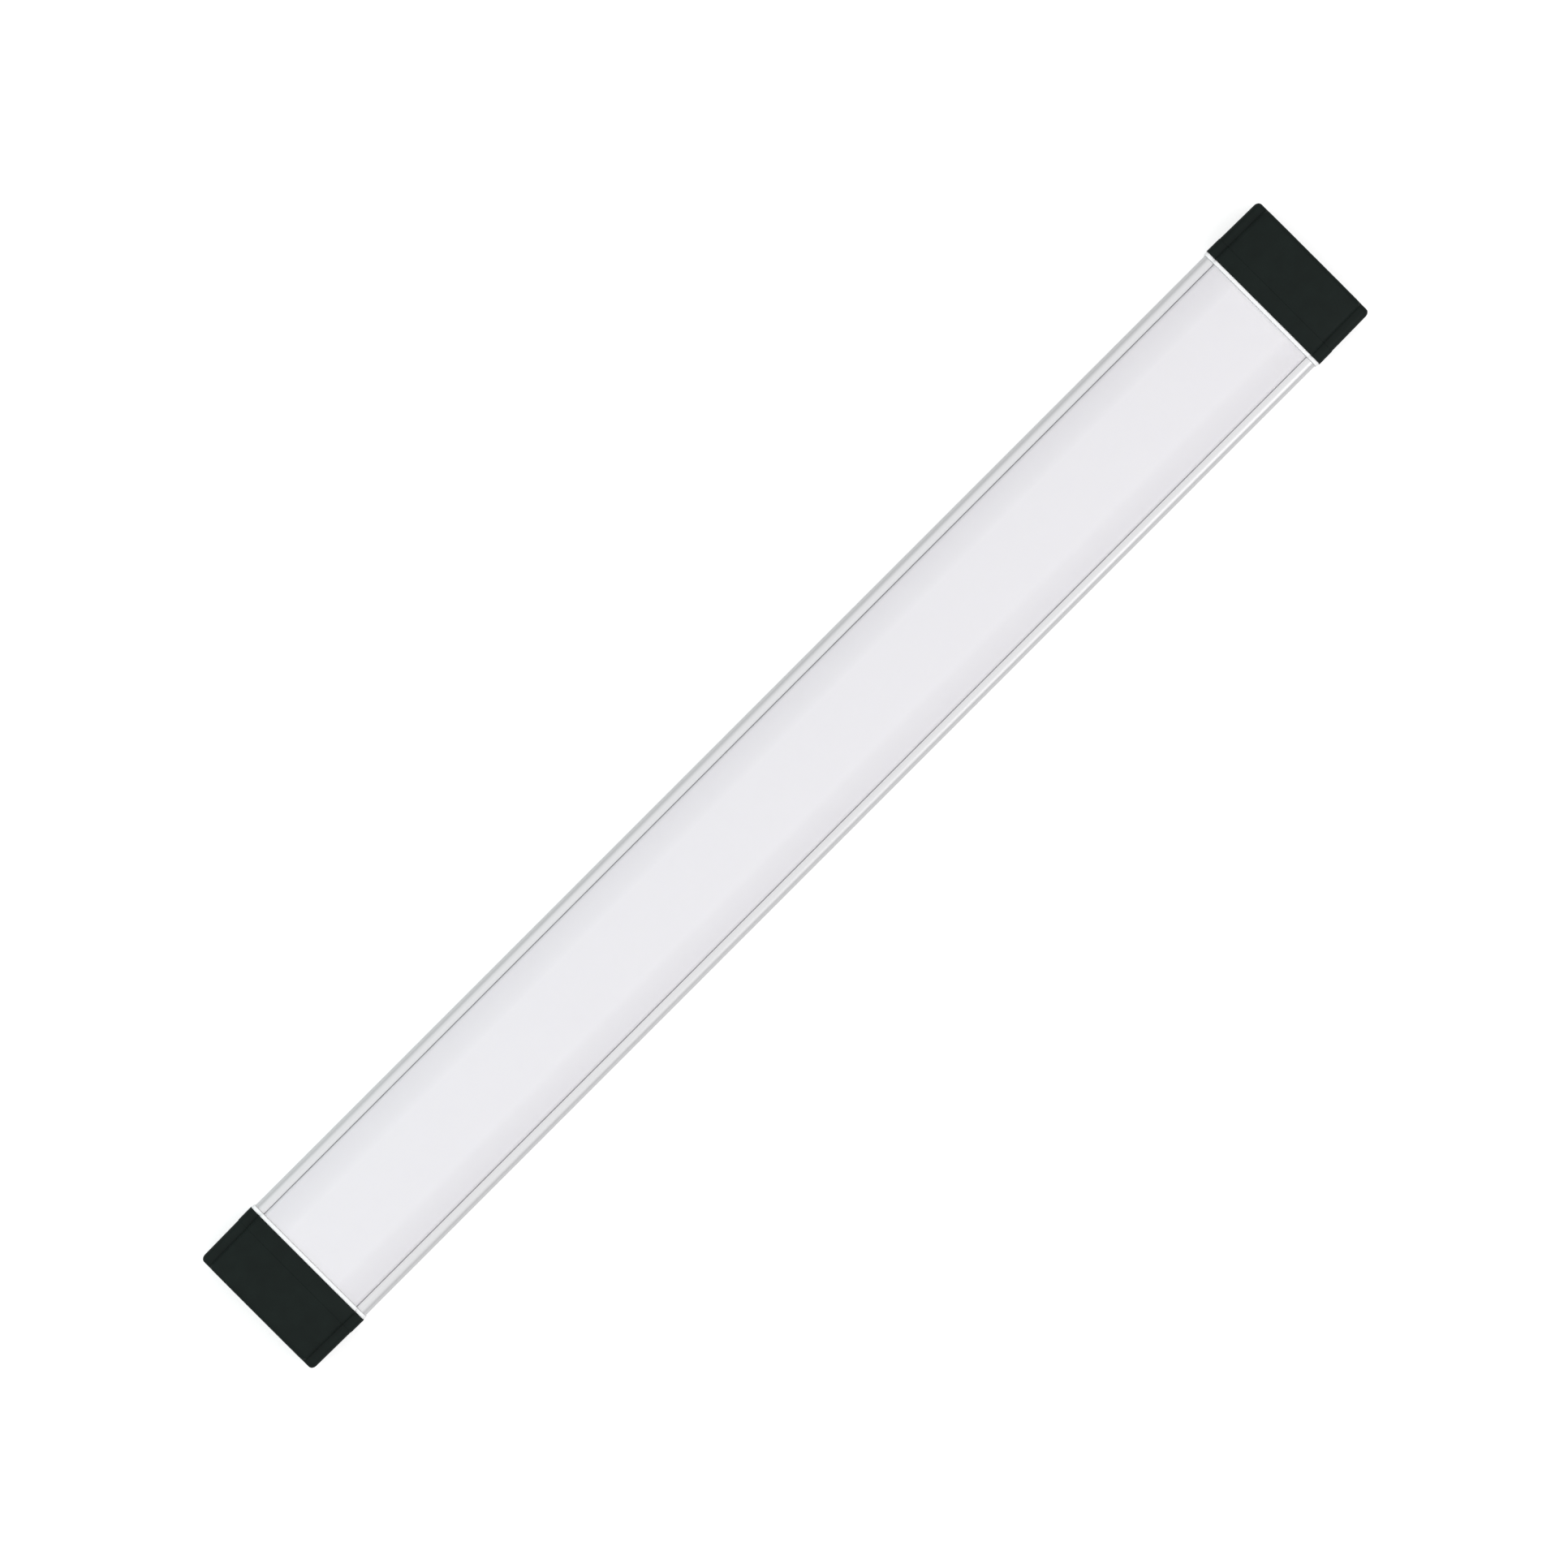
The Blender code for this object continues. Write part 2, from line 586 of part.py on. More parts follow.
def make_button(name, look, switch_look, stem_look):
    """A button with its rear flange and post, and the switch behind it with its own stem."""
    y, z = BUTTONS[name]
    flange_back = BUTTON_FLANGE_X - 1.2
    post_end = SWITCH_FRONT_X + 1.0
    profile = [(1.4, post_end), (1.4, flange_back), (BUTTON_FLANGE_R, flange_back),
               (BUTTON_FLANGE_R, BUTTON_FLANGE_X), (BUTTON_R, BUTTON_FLANGE_X),
               (BUTTON_R, BUTTON_TIP_X - 0.4), (BUTTON_R - 0.4, BUTTON_TIP_X)]
    turned(name, profile, look, "X", (0, y, z), origin=(BUTTON_TIP_X, y, z))
    label = name.replace("_button", "_switch")
    bore_end = SWITCH_BACK_X + 1.0
    housing = block(f"{label}_housing", (SWITCH_BACK_X, y - SWITCH_HALF, z - SWITCH_HALF),
                    (SWITCH_FRONT_X, y + SWITCH_HALF, z + SWITCH_HALF), switch_look)
    bore = turned(f"{label}_bore", [(SWITCH_BORE_R, bore_end), (SWITCH_BORE_R, SWITCH_FRONT_X + 1)],
                  switch_look, "X", (0, y, z), steps=12)
    boolean(housing, bore, "DIFFERENCE")
    stem = [(SWITCH_STEM_R, bore_end + 0.9), (SWITCH_STEM_R, post_end - GAP)]
    turned(f"{label}_stem", stem, stem_look, "X", (0, y, z), steps=12, origin=(post_end - GAP, y, z))


def make_panel_electronics(board_look, display_look, pipe_look):
    block("panel_board", (PANEL_BOARD_X - BOARD_THICK, -21.2, PANEL_Z - 9.6),
          (PANEL_BOARD_X, 21.2, PANEL_Z + 9.6), board_look)
    block("display_module", (PANEL_BOARD_X + GAP, WINDOW_Y - 11.5, PANEL_Z - 6.5),
          (CAP_FLOOR_X - 1.8, WINDOW_Y + 11.5, PANEL_Z + 6.5), display_look, bevel=0.4)
    pipe = [(LIGHT_PIPE_R, PANEL_BOARD_X + GAP), (LIGHT_PIPE_R, PANEL_FLOOR_X)]
    turned("status_light_pipe", pipe, pipe_look, "X", (0, BUTTON_MID_Y, PANEL_Z), steps=16)


# ---------------------------------------------------------------- mount and charging end

def make_mount_cap(look):
    cap = cap_shell("end_cap_left", -1, look)
    add_screw_bosses(cap, -1, look)
    end = -LENGTH / 2
    floor = -CAP_FLOOR_X
    insert_end = end + END_INSERT_LENGTH + GAP
    boss = [(END_BOSS_R, floor - 1), (END_BOSS_R, insert_end + 2)]
    boolean(cap, turned("insert_boss", boss, look, "X", (0, 0, PANEL_Z), steps=24), "UNION")
    recess_floor = end + RECESS_DEPTH
    pad = block("socket_pad", (floor - 1, SOCKET_Y - RECESS_HALF_Y - 1.6, RECESS_LOW_Z - 1.2),
                (recess_floor + 2.5, SOCKET_Y + RECESS_HALF_Y + 1.6, RECESS_HIGH_Z + 1.2), look)
    boolean(cap, pad, "UNION")
    cut_screw_holes(cap, -1, look)
    bore = [(END_INSERT_R + GAP, end - 1), (END_INSERT_R + GAP, insert_end)]
    boolean(cap, turned("insert_bore", bore, look, "X", (0, 0, PANEL_Z), steps=24), "DIFFERENCE")
    recess = block("cover_recess", (end - 1, SOCKET_Y - RECESS_HALF_Y, RECESS_LOW_Z),
                   (recess_floor, SOCKET_Y + RECESS_HALF_Y, RECESS_HIGH_Z), look)
    boolean(cap, recess, "DIFFERENCE")
    mouth = rounded_rectangle(SOCKET_HALF_Y + GAP, SOCKET_HALF_Z + GAP, SOCKET_HALF_Z + GAP - 0.02)
    mouth = moved(mouth, SOCKET_Y, SOCKET_Z)
    boolean(cap, loft_x("socket_mouth", [(end, mouth), (recess_floor + 4, mouth)], look), "DIFFERENCE")
    pin_reach = RECESS_HALF_Y + 0.7
    pins = turned("pin_sockets", [(PIN_SOCKET_R, -pin_reach), (PIN_SOCKET_R, pin_reach)], look, "Y",
                  (COVER_AXIS_X, SOCKET_Y, COVER_AXIS_Z), steps=12)
    boolean(cap, pins, "DIFFERENCE")
    notch = turned("finger_notch", [(3.0, end - 1), (3.0, end + 1.1)], look, "X",
                   (0, SOCKET_Y, RECESS_LOW_Z + 0.4), steps=20)
    boolean(cap, notch, "DIFFERENCE")


def make_cover(look):
    """The socket's cover: a plate with a rounded top edge and a pin on each side, on its hinge's axis."""
    outline = [(-COVER_OUT, -COVER_HEIGHT), (COVER_IN, -COVER_HEIGHT), (COVER_IN, -0.32)]
    outline += arc(0, 0, KNUCKLE_R, KNUCKLE_R, -35, 145, 8)
    outline += [(-COVER_OUT, -0.35)]
    half = RECESS_HALF_Y - GAP
    axis = (COVER_AXIS_X, SOCKET_Y, COVER_AXIS_Z)
    rings = [[(COVER_AXIS_X + x, SOCKET_Y + y, COVER_AXIS_Z + z) for x, z in outline] for y in (-half, half)]
    cover = loft("port_cover", rings, look, origin=axis)
    reach = half + 0.7
    pins = turned("cover_pins", [(PIN_R, -reach), (PIN_R, reach)], look, "Y", axis, steps=10)
    boolean(cover, pins, "UNION")


def make_socket(shell_look, tongue_look, board_look):
    front = -LENGTH / 2 + RECESS_DEPTH + 0.2
    back = front + SOCKET_DEPTH
    outer = rounded_rectangle(SOCKET_HALF_Y, SOCKET_HALF_Z, SOCKET_HALF_Z - 0.02)
    outer = moved(outer, SOCKET_Y, SOCKET_Z)
    inner = inset(outer, SOCKET_WALL)
    cavity_end = back - 0.8
    loft_x("charge_port_shell", [(back, outer), (front, outer), (front, inner), (cavity_end, inner)],
           shell_look)
    block("charge_port_tongue", (front + 0.6, SOCKET_Y - 3.3, SOCKET_Z - 0.35),
          (cavity_end - GAP, SOCKET_Y + 3.3, SOCKET_Z + 0.35), tongue_look)
    board_top = SOCKET_Z - SOCKET_HALF_Z - GAP
    chips = [(-282, -276, 9, 15, 1.6), (-272, -266, 11, 18, 1.2), (-261, -256, 9, 17, 3.2)]
    relief_board("charge_board", (-294.5, 7.2, board_top - BOARD_THICK), (-255, 21, board_top), chips,
                 board_look)


# ---------------------------------------------------------------- inserts and magnets

def make_inserts(look):
    end = -LENGTH / 2
    ring = [(THREAD_R, end + 0.1), (END_INSERT_R, end + 0.1), (END_INSERT_R, end + END_INSERT_LENGTH),
            (THREAD_R, end + END_INSERT_LENGTH)]
    turned("end_mount_insert", ring, look, "X", (0, 0, PANEL_Z), closed=True)
    inner = INNER_FLOOR + GAP
    profile = [(0, 9.6), (REAR_INSERT_R, 9.6), (REAR_INSERT_R, inner + 1.5), (REAR_FLANGE_R, inner + 1.5),
               (REAR_FLANGE_R, inner), (REAR_INSERT_R, inner), (REAR_INSERT_R, 0.5), (THREAD_R, 0.5),
               (THREAD_R, 8.3), (0, 8.3)]
    turned("rear_mount_insert", profile, look, "Z", (0, 0, 0))


def make_magnet(label, x, cup_look, magnet_look):
    inner = INNER_FLOOR + GAP
    cup = [(0, 0.25), (MAGNET_CUP_R, 0.25), (MAGNET_CUP_R, inner), (MAGNET_FLANGE_R, inner),
           (MAGNET_FLANGE_R, inner + 1.2), (MAGNET_R + GAP, inner + 1.2), (MAGNET_R + GAP, 1.35), (0, 1.35)]
    turned(f"magnet_cup_{label}", cup, cup_look, "Z", (x, 0, 0))
    disc = [(MAGNET_R, 1.35 + GAP), (MAGNET_R, inner + 1.2)]
    turned(f"rear_magnet_{label}", disc, magnet_look, "Z", (x, 0, 0))


# ---------------------------------------------------------------- light engine

def led_parts(side):
    """The chips in two rows on the board at one side of the middle."""
    parts = []
    pitch = (LED_BOARD_FAR - LED_BOARD_NEAR) / LEDS_IN_ROW
    for row_y in (-LED_ROW_Y, LED_ROW_Y):
        for i in range(LEDS_IN_ROW):
            x = side * (LED_BOARD_NEAR + (i + 0.5) * pitch)
            parts.append((x - LED_HALF[0], x + LED_HALF[0], row_y - LED_HALF[1], row_y + LED_HALF[1],
                          LED_HEIGHT))
    return parts


def make_light_engine(board_look, jumper_look):
    bottom = SHELF_TOP + GAP
    top = bottom + LED_BOARD_THICK
    for label, side in (("left", -1), ("right", 1)):
        ends = sorted((side * LED_BOARD_NEAR, side * LED_BOARD_FAR))
        relief_board(f"led_board_{label}", (ends[0], -LED_BOARD_HALF_Y, bottom),
                     (ends[1], LED_BOARD_HALF_Y, top), led_parts(side), board_look)
    block("led_board_jumper", (-6, -3, top + GAP), (6, 3, top + GAP + 1.2), jumper_look, bevel=0.2)


# ---------------------------------------------------------------- battery and control electronics

def make_tray(look):
    """A cradle with two bays. Each bay holds two cells side by side."""
    floor = INNER_FLOOR + GAP
    tray = block("battery_tray", (TRAY_LEFT, -TRAY_HALF_Y, floor), (TRAY_RIGHT, TRAY_HALF_Y, TRAY_TOP), look)
    bay = (TRAY_RIGHT - TRAY_LEFT - 3 * TRAY_WALL) / 2
    for i in range(2):
        left = TRAY_LEFT + TRAY_WALL + i * (bay + TRAY_WALL)
        hollow = block(f"tray_bay_{i}", (left, -TRAY_HALF_Y + TRAY_WALL, floor + 0.8),
                       (left + bay, TRAY_HALF_Y - TRAY_WALL, TRAY_TOP + 1), look)
        boolean(tray, hollow, "DIFFERENCE")


def make_cell(name, left, y, look):
    profile = [(CELL_R - 0.4, 0), (CELL_R, 0.4), (CELL_R, CELL_LENGTH - 1.6),
               (CELL_R - 0.5, CELL_LENGTH - 1.2), (3.0, CELL_LENGTH - 1.2), (3.0, CELL_LENGTH)]
    turned(name, profile, look, "X", (left, y, CELL_Z), steps=20)


def make_cells(look):
    bay = (TRAY_RIGHT - TRAY_LEFT - 3 * TRAY_WALL) / 2
    margin = (bay - CELL_LENGTH) / 2
    for i in range(4):
        left = TRAY_LEFT + TRAY_WALL + (i // 2) * (bay + TRAY_WALL) + margin
        make_cell(f"battery_cell_{i + 1}", left, CELL_Y if i % 2 else -CELL_Y, look)


def make_electronics(board_look, coil_look):
    block("battery_board", (TRAY_RIGHT + GAP, -18, 3.2), (TRAY_RIGHT + GAP + BOARD_THICK, 18, 20.5),
          board_look)
    chips = [(66, 78, -15, -6, 5.0), (66, 74, 2, 9, 3.0), (84, 92, -16, -8, 1.4), (84, 90, 4, 10, 1.4),
             (124, 134, -6, 4, 1.6), (140, 147, -15, -8, 1.2), (140, 147, 6, 13, 1.2),
             (158, 164, -4, 2, 2.2), (168, 174, -15, -5, 3.0), (168, 174, 4, 11, 3.0)]
    relief_board("control_board", (60, -19, 4.6), (176, 19, 6.1), chips, board_look)
    block("control_inductor", (100, -6, 6.4), (112, 6, 13.4), coil_look, bevel=1.2)


def make_leads(power_look, white_look, ribbon_look):
    lead("battery_lead", [(-53.9, -10, 12), (-40, -11, 13.2), (-15, -13, 14), (15, -13, 14),
                          (40, -11.5, 12.5), (56, -10.5, 9.2), (65.6, -10.5, 8.8)], 1.1, power_look)
    lead("charge_lead", [(-254.6, 13, 13.9), (-244, 14.5, 13.2), (-228, 20.5, 12.4), (-205, 23.2, 12.3),
                         (-160, 23.4, 12.3), (-110, 23.4, 12.3), (-60, 23.4, 12.3), (-10, 22.4, 12.3),
                         (30, 17, 11.5), (52, 8, 8.8), (65.6, 5.5, 8.0)], 1.0, power_look)
    lead("led_lead", [(174.4, 7.5, 7.6), (186, 7.5, 8.2), (215, 6, 8.8), (245, 2, 9.6), (261, 0, 13.5),
                      (266, 0, 20), (266.3, 0, 25), (264, 0, 28.2), (260, 0, 28.3), (254, 0, 26.9)],
         0.8, white_look)
    heights = [(174.4, 7.6), (186, 8.4), (230, 8.8), (262, 9.4), (274, 11.4), (280, 12.6),
               (PANEL_BOARD_X - BOARD_THICK - GAP, 13.0)]
    rings = [(x, moved(rounded_rectangle(4.0, 0.3, 0.2, 1), -10, z)) for x, z in heights]
    loft_x("panel_ribbon", rings, ribbon_look)


# ---------------------------------------------------------------- assembly

def clear_scene():
    for item in list(bpy.data.objects):
        bpy.data.objects.remove(item)


def main():
    clear_scene()
    anodised = material("light_anodised_aluminium", (0.78, 0.79, 0.80), 0.38, 0.6)
    opal = material("opal_polycarbonate", (0.84, 0.84, 0.86), 0.45)
    charcoal = material("charcoal_abs", (0.016, 0.019, 0.018), 0.48)
    silicone = material("pale_silicone", (0.86, 0.87, 0.88), 0.6)
    steel = material("black_steel", (0.05, 0.05, 0.055), 0.35, 0.9)
    white_mask = material("white_solder_mask", (0.82, 0.82, 0.80), 0.5)
    green_mask = material("green_solder_mask", (0.02, 0.16, 0.07), 0.45)
    white_plastic = material("white_plastic", (0.80, 0.80, 0.78), 0.5)
    black_plastic = material("black_plastic", (0.02, 0.02, 0.02), 0.5)
    wrap = material("cell_sleeve", (0.05, 0.20, 0.42), 0.3)
    brass = material("brass", (0.80, 0.60, 0.28), 0.3, 1.0)
    smoked = material("smoked_acrylic", (0.03, 0.03, 0.035), 0.08, 0.0, 0.6)
    frosted = material("frosted_acrylic", (0.85, 0.88, 0.88), 0.3)
    rubber = material("grey_rubber", (0.05, 0.052, 0.055), 0.7)
    nickel = material("nickel", (0.66, 0.65, 0.62), 0.25, 1.0)
    red_lead = material("red_lead", (0.45, 0.03, 0.02), 0.5)
    ferrite = material("ferrite", (0.09, 0.09, 0.095), 0.6)

    make_channel(anodised, charcoal)
    make_diffuser(opal)
    make_control_cap(charcoal)
    make_mount_cap(charcoal)
    for label, side in (("left", -1), ("right", 1)):
        make_gasket(f"end_gasket_{label}", side, silicone)
        make_screws(label, side, steel)
        make_magnet(label, side * MAGNET_X, rubber, nickel)
    make_window(smoked)
    for name in BUTTONS:
        make_button(name, rubber, black_plastic, white_plastic)
    make_panel_electronics(green_mask, black_plastic, frosted)
    make_cover(rubber)
    make_socket(nickel, black_plastic, green_mask)
    make_inserts(brass)
    make_light_engine(white_mask, white_plastic)
    make_tray(black_plastic)
    make_cells(wrap)
    make_electronics(green_mask, ferrite)
    make_leads(red_lead, white_plastic, white_plastic)


main()
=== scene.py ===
"""Looks of the LED light tube: finer shells, small hardware and procedural materials."""
import json
import math

import bmesh
import bpy
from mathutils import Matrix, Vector


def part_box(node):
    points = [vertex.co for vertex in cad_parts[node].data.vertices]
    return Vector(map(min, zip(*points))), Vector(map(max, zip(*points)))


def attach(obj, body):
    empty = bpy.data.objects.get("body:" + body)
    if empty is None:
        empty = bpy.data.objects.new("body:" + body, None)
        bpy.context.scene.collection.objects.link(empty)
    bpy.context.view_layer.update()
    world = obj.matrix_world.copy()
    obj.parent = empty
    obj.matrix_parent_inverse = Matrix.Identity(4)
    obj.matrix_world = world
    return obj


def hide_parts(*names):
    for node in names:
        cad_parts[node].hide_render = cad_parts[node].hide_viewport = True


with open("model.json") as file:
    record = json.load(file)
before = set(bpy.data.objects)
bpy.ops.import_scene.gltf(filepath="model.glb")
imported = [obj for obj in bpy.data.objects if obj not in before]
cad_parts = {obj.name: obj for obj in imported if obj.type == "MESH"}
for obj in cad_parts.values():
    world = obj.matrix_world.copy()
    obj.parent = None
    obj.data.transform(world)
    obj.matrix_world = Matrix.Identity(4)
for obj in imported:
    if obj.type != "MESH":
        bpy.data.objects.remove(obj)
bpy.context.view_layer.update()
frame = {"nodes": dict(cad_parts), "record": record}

MM = 0.001
NODES = frame["nodes"]


def box_mm(node):
    """A CAD node's lowest and highest corners, in millimetres."""
    low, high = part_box(node)
    return Vector(low) / MM, Vector(high) / MM


def centre_mm(node):
    low, high = box_mm(node)
    return (low + high) / 2


# The section's sizes, in millimetres, as the frame was drawn
HALF_WIDTH = 31.25
CAP_PROUD = 0.85
BACK = CAP_PROUD
BACK_WALL = 1.8
SIDE_WALL = 1.8
CORNER_R = 6.0
LIP_TOP = 27.65
LIP_THICK = 1.4
LIP_ROUND = 3.4
LIP_INNER = 26.35
GROOVE_WIDTH = 0.9
GROOVE_DEPTH = 0.3
SLOT_Y = 28.9
LEDGE_Y = 24.6
LEDGE_TOP = 23.6
SHELF_HALF_X = 262.0
SHELF_BOTTOM = 22.75
SHELF_TOP = 24.25
PORT_Y = 25.6
PORT_LOW_Z = 6.5
PORT_HIGH_Z = 18.2
PORT_OUTER_R = 3.0
PORT_BORE_R = 1.5
CROWN_HALF = 14.3
CROWN_TOP = 31.9
FLANK_LOW_SLOPE = 14.0
FLANK_HIGH_SLOPE = 8.0
DOME_HALF = 26.05
SHOULDER_R = 2.0
INNER_SHOULDER_R = 0.6
STEP_Y = 26.25
STEP_TOP = 27.35
DIFFUSER_WALL = 2.0
FOOT_Y = 28.6
FOOT_THICK = 1.4
CAP_WALL = 1.8
CAP_END_WALL = 2.4
CAP_DRAFT = 0.011
CAP_COLLAR = 7.0
CAP_COLLAR_STEP = 0.0045
CAP_EDGE_LENGTH = 2.4
CAP_EDGE_INSET = 1.9
CAP_EDGE_STEPS = 12
CAP_CORNER_R = 6.5
CAP_LIP_ROUND = 2.7
CAP_DOME_HALF = 27.4
CAP_SHOULDER_R = 2.0
CAP_BOSS_R = 4.0
GASKET_INSET = 0.25
GASKET_WIDTH = 1.6
GASKET_RIM = 0.3
SHANK_HOLE_R = 1.6
COUNTERBORE_R = 3.1
COUNTERBORE_DEPTH = 2.3
PANEL_Z = 14.5
PANEL_HALF_Y = 21.3
PANEL_HALF_Z = 10.1
PANEL_DEPTH = 0.8
BUTTON_HOLE_R = 3.1
PIPE_HOLE_R = 1.2
END_BOSS_R = 7.4
END_HOLE_R = 5.0
REAR_HOLE_R = 6.3
CUP_HOLE_R = 10.3
COVER_HALF_Y = 6.0
COVER_PIN_LENGTH = 0.7
RECESS_HALF_Y = 6.3
RECESS_LOW_Z = 9.6
RECESS_HIGH_Z = 20.3
RECESS_DEPTH = 1.9
GAP = 0.3

# Threads, in millimetres
INSERT_BORE_R = 3.2
INSERT_MOUTH_R = 3.6
INSERT_PITCH = 1.27
INSERT_THREAD_DEPTH = 0.42
KNURL_DEPTH = 0.18
SCREW_SHANK_R = 1.2
SCREW_PITCH = 1.0
SCREW_THREAD_DEPTH = 0.18
SCREW_THREAD_LENGTH = 30
SCREW_THREAD_STEPS = 120

BUTTONS = ("power_button", "mode_button", "plus_button", "minus_button")
AXIS_ORDER = {"X": (2, 0, 1), "Y": (1, 2, 0), "Z": (0, 1, 2)}

# Places read from the frame
FOOT_BOTTOM = box_mm("front_diffuser")[0].z
CAP_LOW, CAP_HIGH = box_mm("end_cap_right")
END_X = CAP_HIGH.x
CAP_INNER_X = CAP_LOW.x
CAP_LENGTH = END_X - CAP_INNER_X
CAP_FLOOR_X = END_X - CAP_END_WALL
TUBE_END_X = box_mm("rear_housing")[1].x
PANEL_FLOOR_X = END_X - PANEL_DEPTH
SCREW_PLACES = [(side * PORT_Y, z) for z in (PORT_LOW_Z, PORT_HIGH_Z) for side in (1, -1)]

# Camera and picture
VIEW_WIDTH = 0.6288
LENS = 800.0
SENSOR = 36.0
FRONT_PLANE = 0.03
ROLL = -45.0
AIM = (0.0001, 0.0008)


# ---------------------------------------------------------------- outlines in the Y-Z plane

def arc(centre_y, centre_z, radius_y, radius_z, start, end, steps):
    angles = [math.radians(start + (end - start) * i / steps) for i in range(steps + 1)]
    return [(centre_y + radius_y * math.cos(a), centre_z + radius_z * math.sin(a)) for a in angles]


def rounded_rectangle(half_y, half_z, radius, steps=8):
    corners = ((1, 1, 0), (-1, 1, 90), (-1, -1, 180), (1, -1, 270))
    outline = []
    for side_y, side_z, start in corners:
        centre_y = side_y * (half_y - radius)
        centre_z = side_z * (half_z - radius)
        outline += arc(centre_y, centre_z, radius, radius, start, start + 90, steps)
    return outline


def mirrored(right_half):
    return right_half + [(-y, z) for y, z in reversed(right_half)]


def moved(outline, dy, dz):
    return [(y + dy, z + dz) for y, z in outline]


def inset(outline, distance):
    """The outline moved inwards by a distance, keeping its number of points."""
    count = len(outline)
    result = []
    for i, point in enumerate(outline):
        before = Vector(outline[i - 1])
        here = Vector(point)
        after = Vector(outline[(i + 1) % count])
        first = (here - before).normalized()
        second = (after - here).normalized()
        normal_1 = Vector((-first.y, first.x))
        normal_2 = Vector((-second.y, second.x))
        shift = (normal_1 + normal_2) * (distance / (1 + normal_1.dot(normal_2)))
        result.append(tuple(here + shift))
    return result


def port_mouth(centre_z, first, mouth, last):
    opens, closes = mouth
    edge = arc(PORT_Y, centre_z, PORT_OUTER_R, PORT_OUTER_R, first, opens, 4)
    edge += arc(PORT_Y, centre_z, PORT_BORE_R, PORT_BORE_R, opens, closes - 360, 28)
    edge += arc(PORT_Y, centre_z, PORT_OUTER_R, PORT_OUTER_R, closes, last, 8)
    return edge


def back_grooves(spots):
    """Fine V grooves that run along the back of the extrusion, from the middle outwards."""
    edge = []
    for y in spots:
        edge += [(y - GROOVE_WIDTH / 2, BACK), (y, BACK + GROOVE_DEPTH), (y + GROOVE_WIDTH / 2, BACK)]
    return edge


def side_grooves(spots):
    """Fine V grooves that run along a side wall of the extrusion, each at its own height."""
    edge = []
    for z in spots:
        edge += [(HALF_WIDTH, z - GROOVE_WIDTH / 2), (HALF_WIDTH - GROOVE_DEPTH, z),
                 (HALF_WIDTH, z + GROOVE_WIDTH / 2)]
    return edge


def channel_outline():
    wall_y = HALF_WIDTH - SIDE_WALL
    ledge_turn = math.degrees(math.acos((LEDGE_Y - PORT_Y) / PORT_OUTER_R))
    half = back_grooves((18.0, 20.4))
    half += arc(HALF_WIDTH - CORNER_R, BACK + CORNER_R, CORNER_R, CORNER_R, -90, 0, 16)
    half += side_grooves((9.6, 12.0, 14.4))
    half += arc(HALF_WIDTH - LIP_ROUND, LIP_TOP - LIP_ROUND, LIP_ROUND, LIP_ROUND, 0, 90, 14)
    half += arc(LIP_INNER + 0.25, LIP_TOP - 0.25, 0.25, 0.25, 90, 180, 3)
    half += [(LIP_INNER, LIP_TOP - LIP_THICK)]
    half += [(SLOT_Y, LIP_TOP - LIP_THICK), (SLOT_Y, LEDGE_TOP), (LEDGE_Y, LEDGE_TOP)]
    half += port_mouth(PORT_HIGH_Z, ledge_turn, (155, 205), 300)
    half += [(wall_y, PORT_HIGH_Z - PORT_OUTER_R), (wall_y, PORT_LOW_Z + PORT_OUTER_R)]
    half += port_mouth(PORT_LOW_Z, 60, (110, 160), 210)
    half += [(PORT_Y - PORT_OUTER_R, BACK + BACK_WALL)]
    return mirrored(half)


def dome_outline(half_width, shoulder_r, crown_half, top, shoulder_steps, flank_steps):
    """From a side wall over its rounded shoulder and up a gently curved flank to the flat crown."""
    low = math.radians(FLANK_LOW_SLOPE)
    high = math.radians(FLANK_HIGH_SLOPE)
    shoulder_y = half_width - shoulder_r
    flank_r = (shoulder_y + shoulder_r * math.sin(low) - crown_half) / (math.sin(low) - math.sin(high))
    flank_y = crown_half - flank_r * math.sin(high)
    flank_z = top - flank_r * math.cos(high)
    shoulder_z = flank_z + (flank_r - shoulder_r) * math.cos(low)
    shoulder = arc(shoulder_y, shoulder_z, shoulder_r, shoulder_r, 0, 90 - FLANK_LOW_SLOPE, shoulder_steps)
    flank = arc(flank_y, flank_z, flank_r, flank_r, 90 - FLANK_LOW_SLOPE, 90 - FLANK_HIGH_SLOPE, flank_steps)
    return shoulder + flank[1:]


def diffuser_outline():
    """A shallow dome with a flat crown, a fine step in the groove and a foot hooked under the lip."""
    foot_top = FOOT_BOTTOM + FOOT_THICK
    outer = [(FOOT_Y, FOOT_BOTTOM), (FOOT_Y, foot_top), (STEP_Y, foot_top), (STEP_Y, STEP_TOP)]
    outer += [(DOME_HALF + 0.1, STEP_TOP + 0.1), (DOME_HALF, STEP_TOP + 0.3)]
    outer += dome_outline(DOME_HALF, SHOULDER_R, CROWN_HALF, CROWN_TOP, 16, 14)
    inner_half = DOME_HALF - DIFFUSER_WALL
    inner = [(inner_half, FOOT_BOTTOM)]
    inner += dome_outline(inner_half, INNER_SHOULDER_R, CROWN_HALF, CROWN_TOP - DIFFUSER_WALL, 8, 8)
    return mirrored(outer) + [(-y, z) for y, z in inner] + inner[::-1]


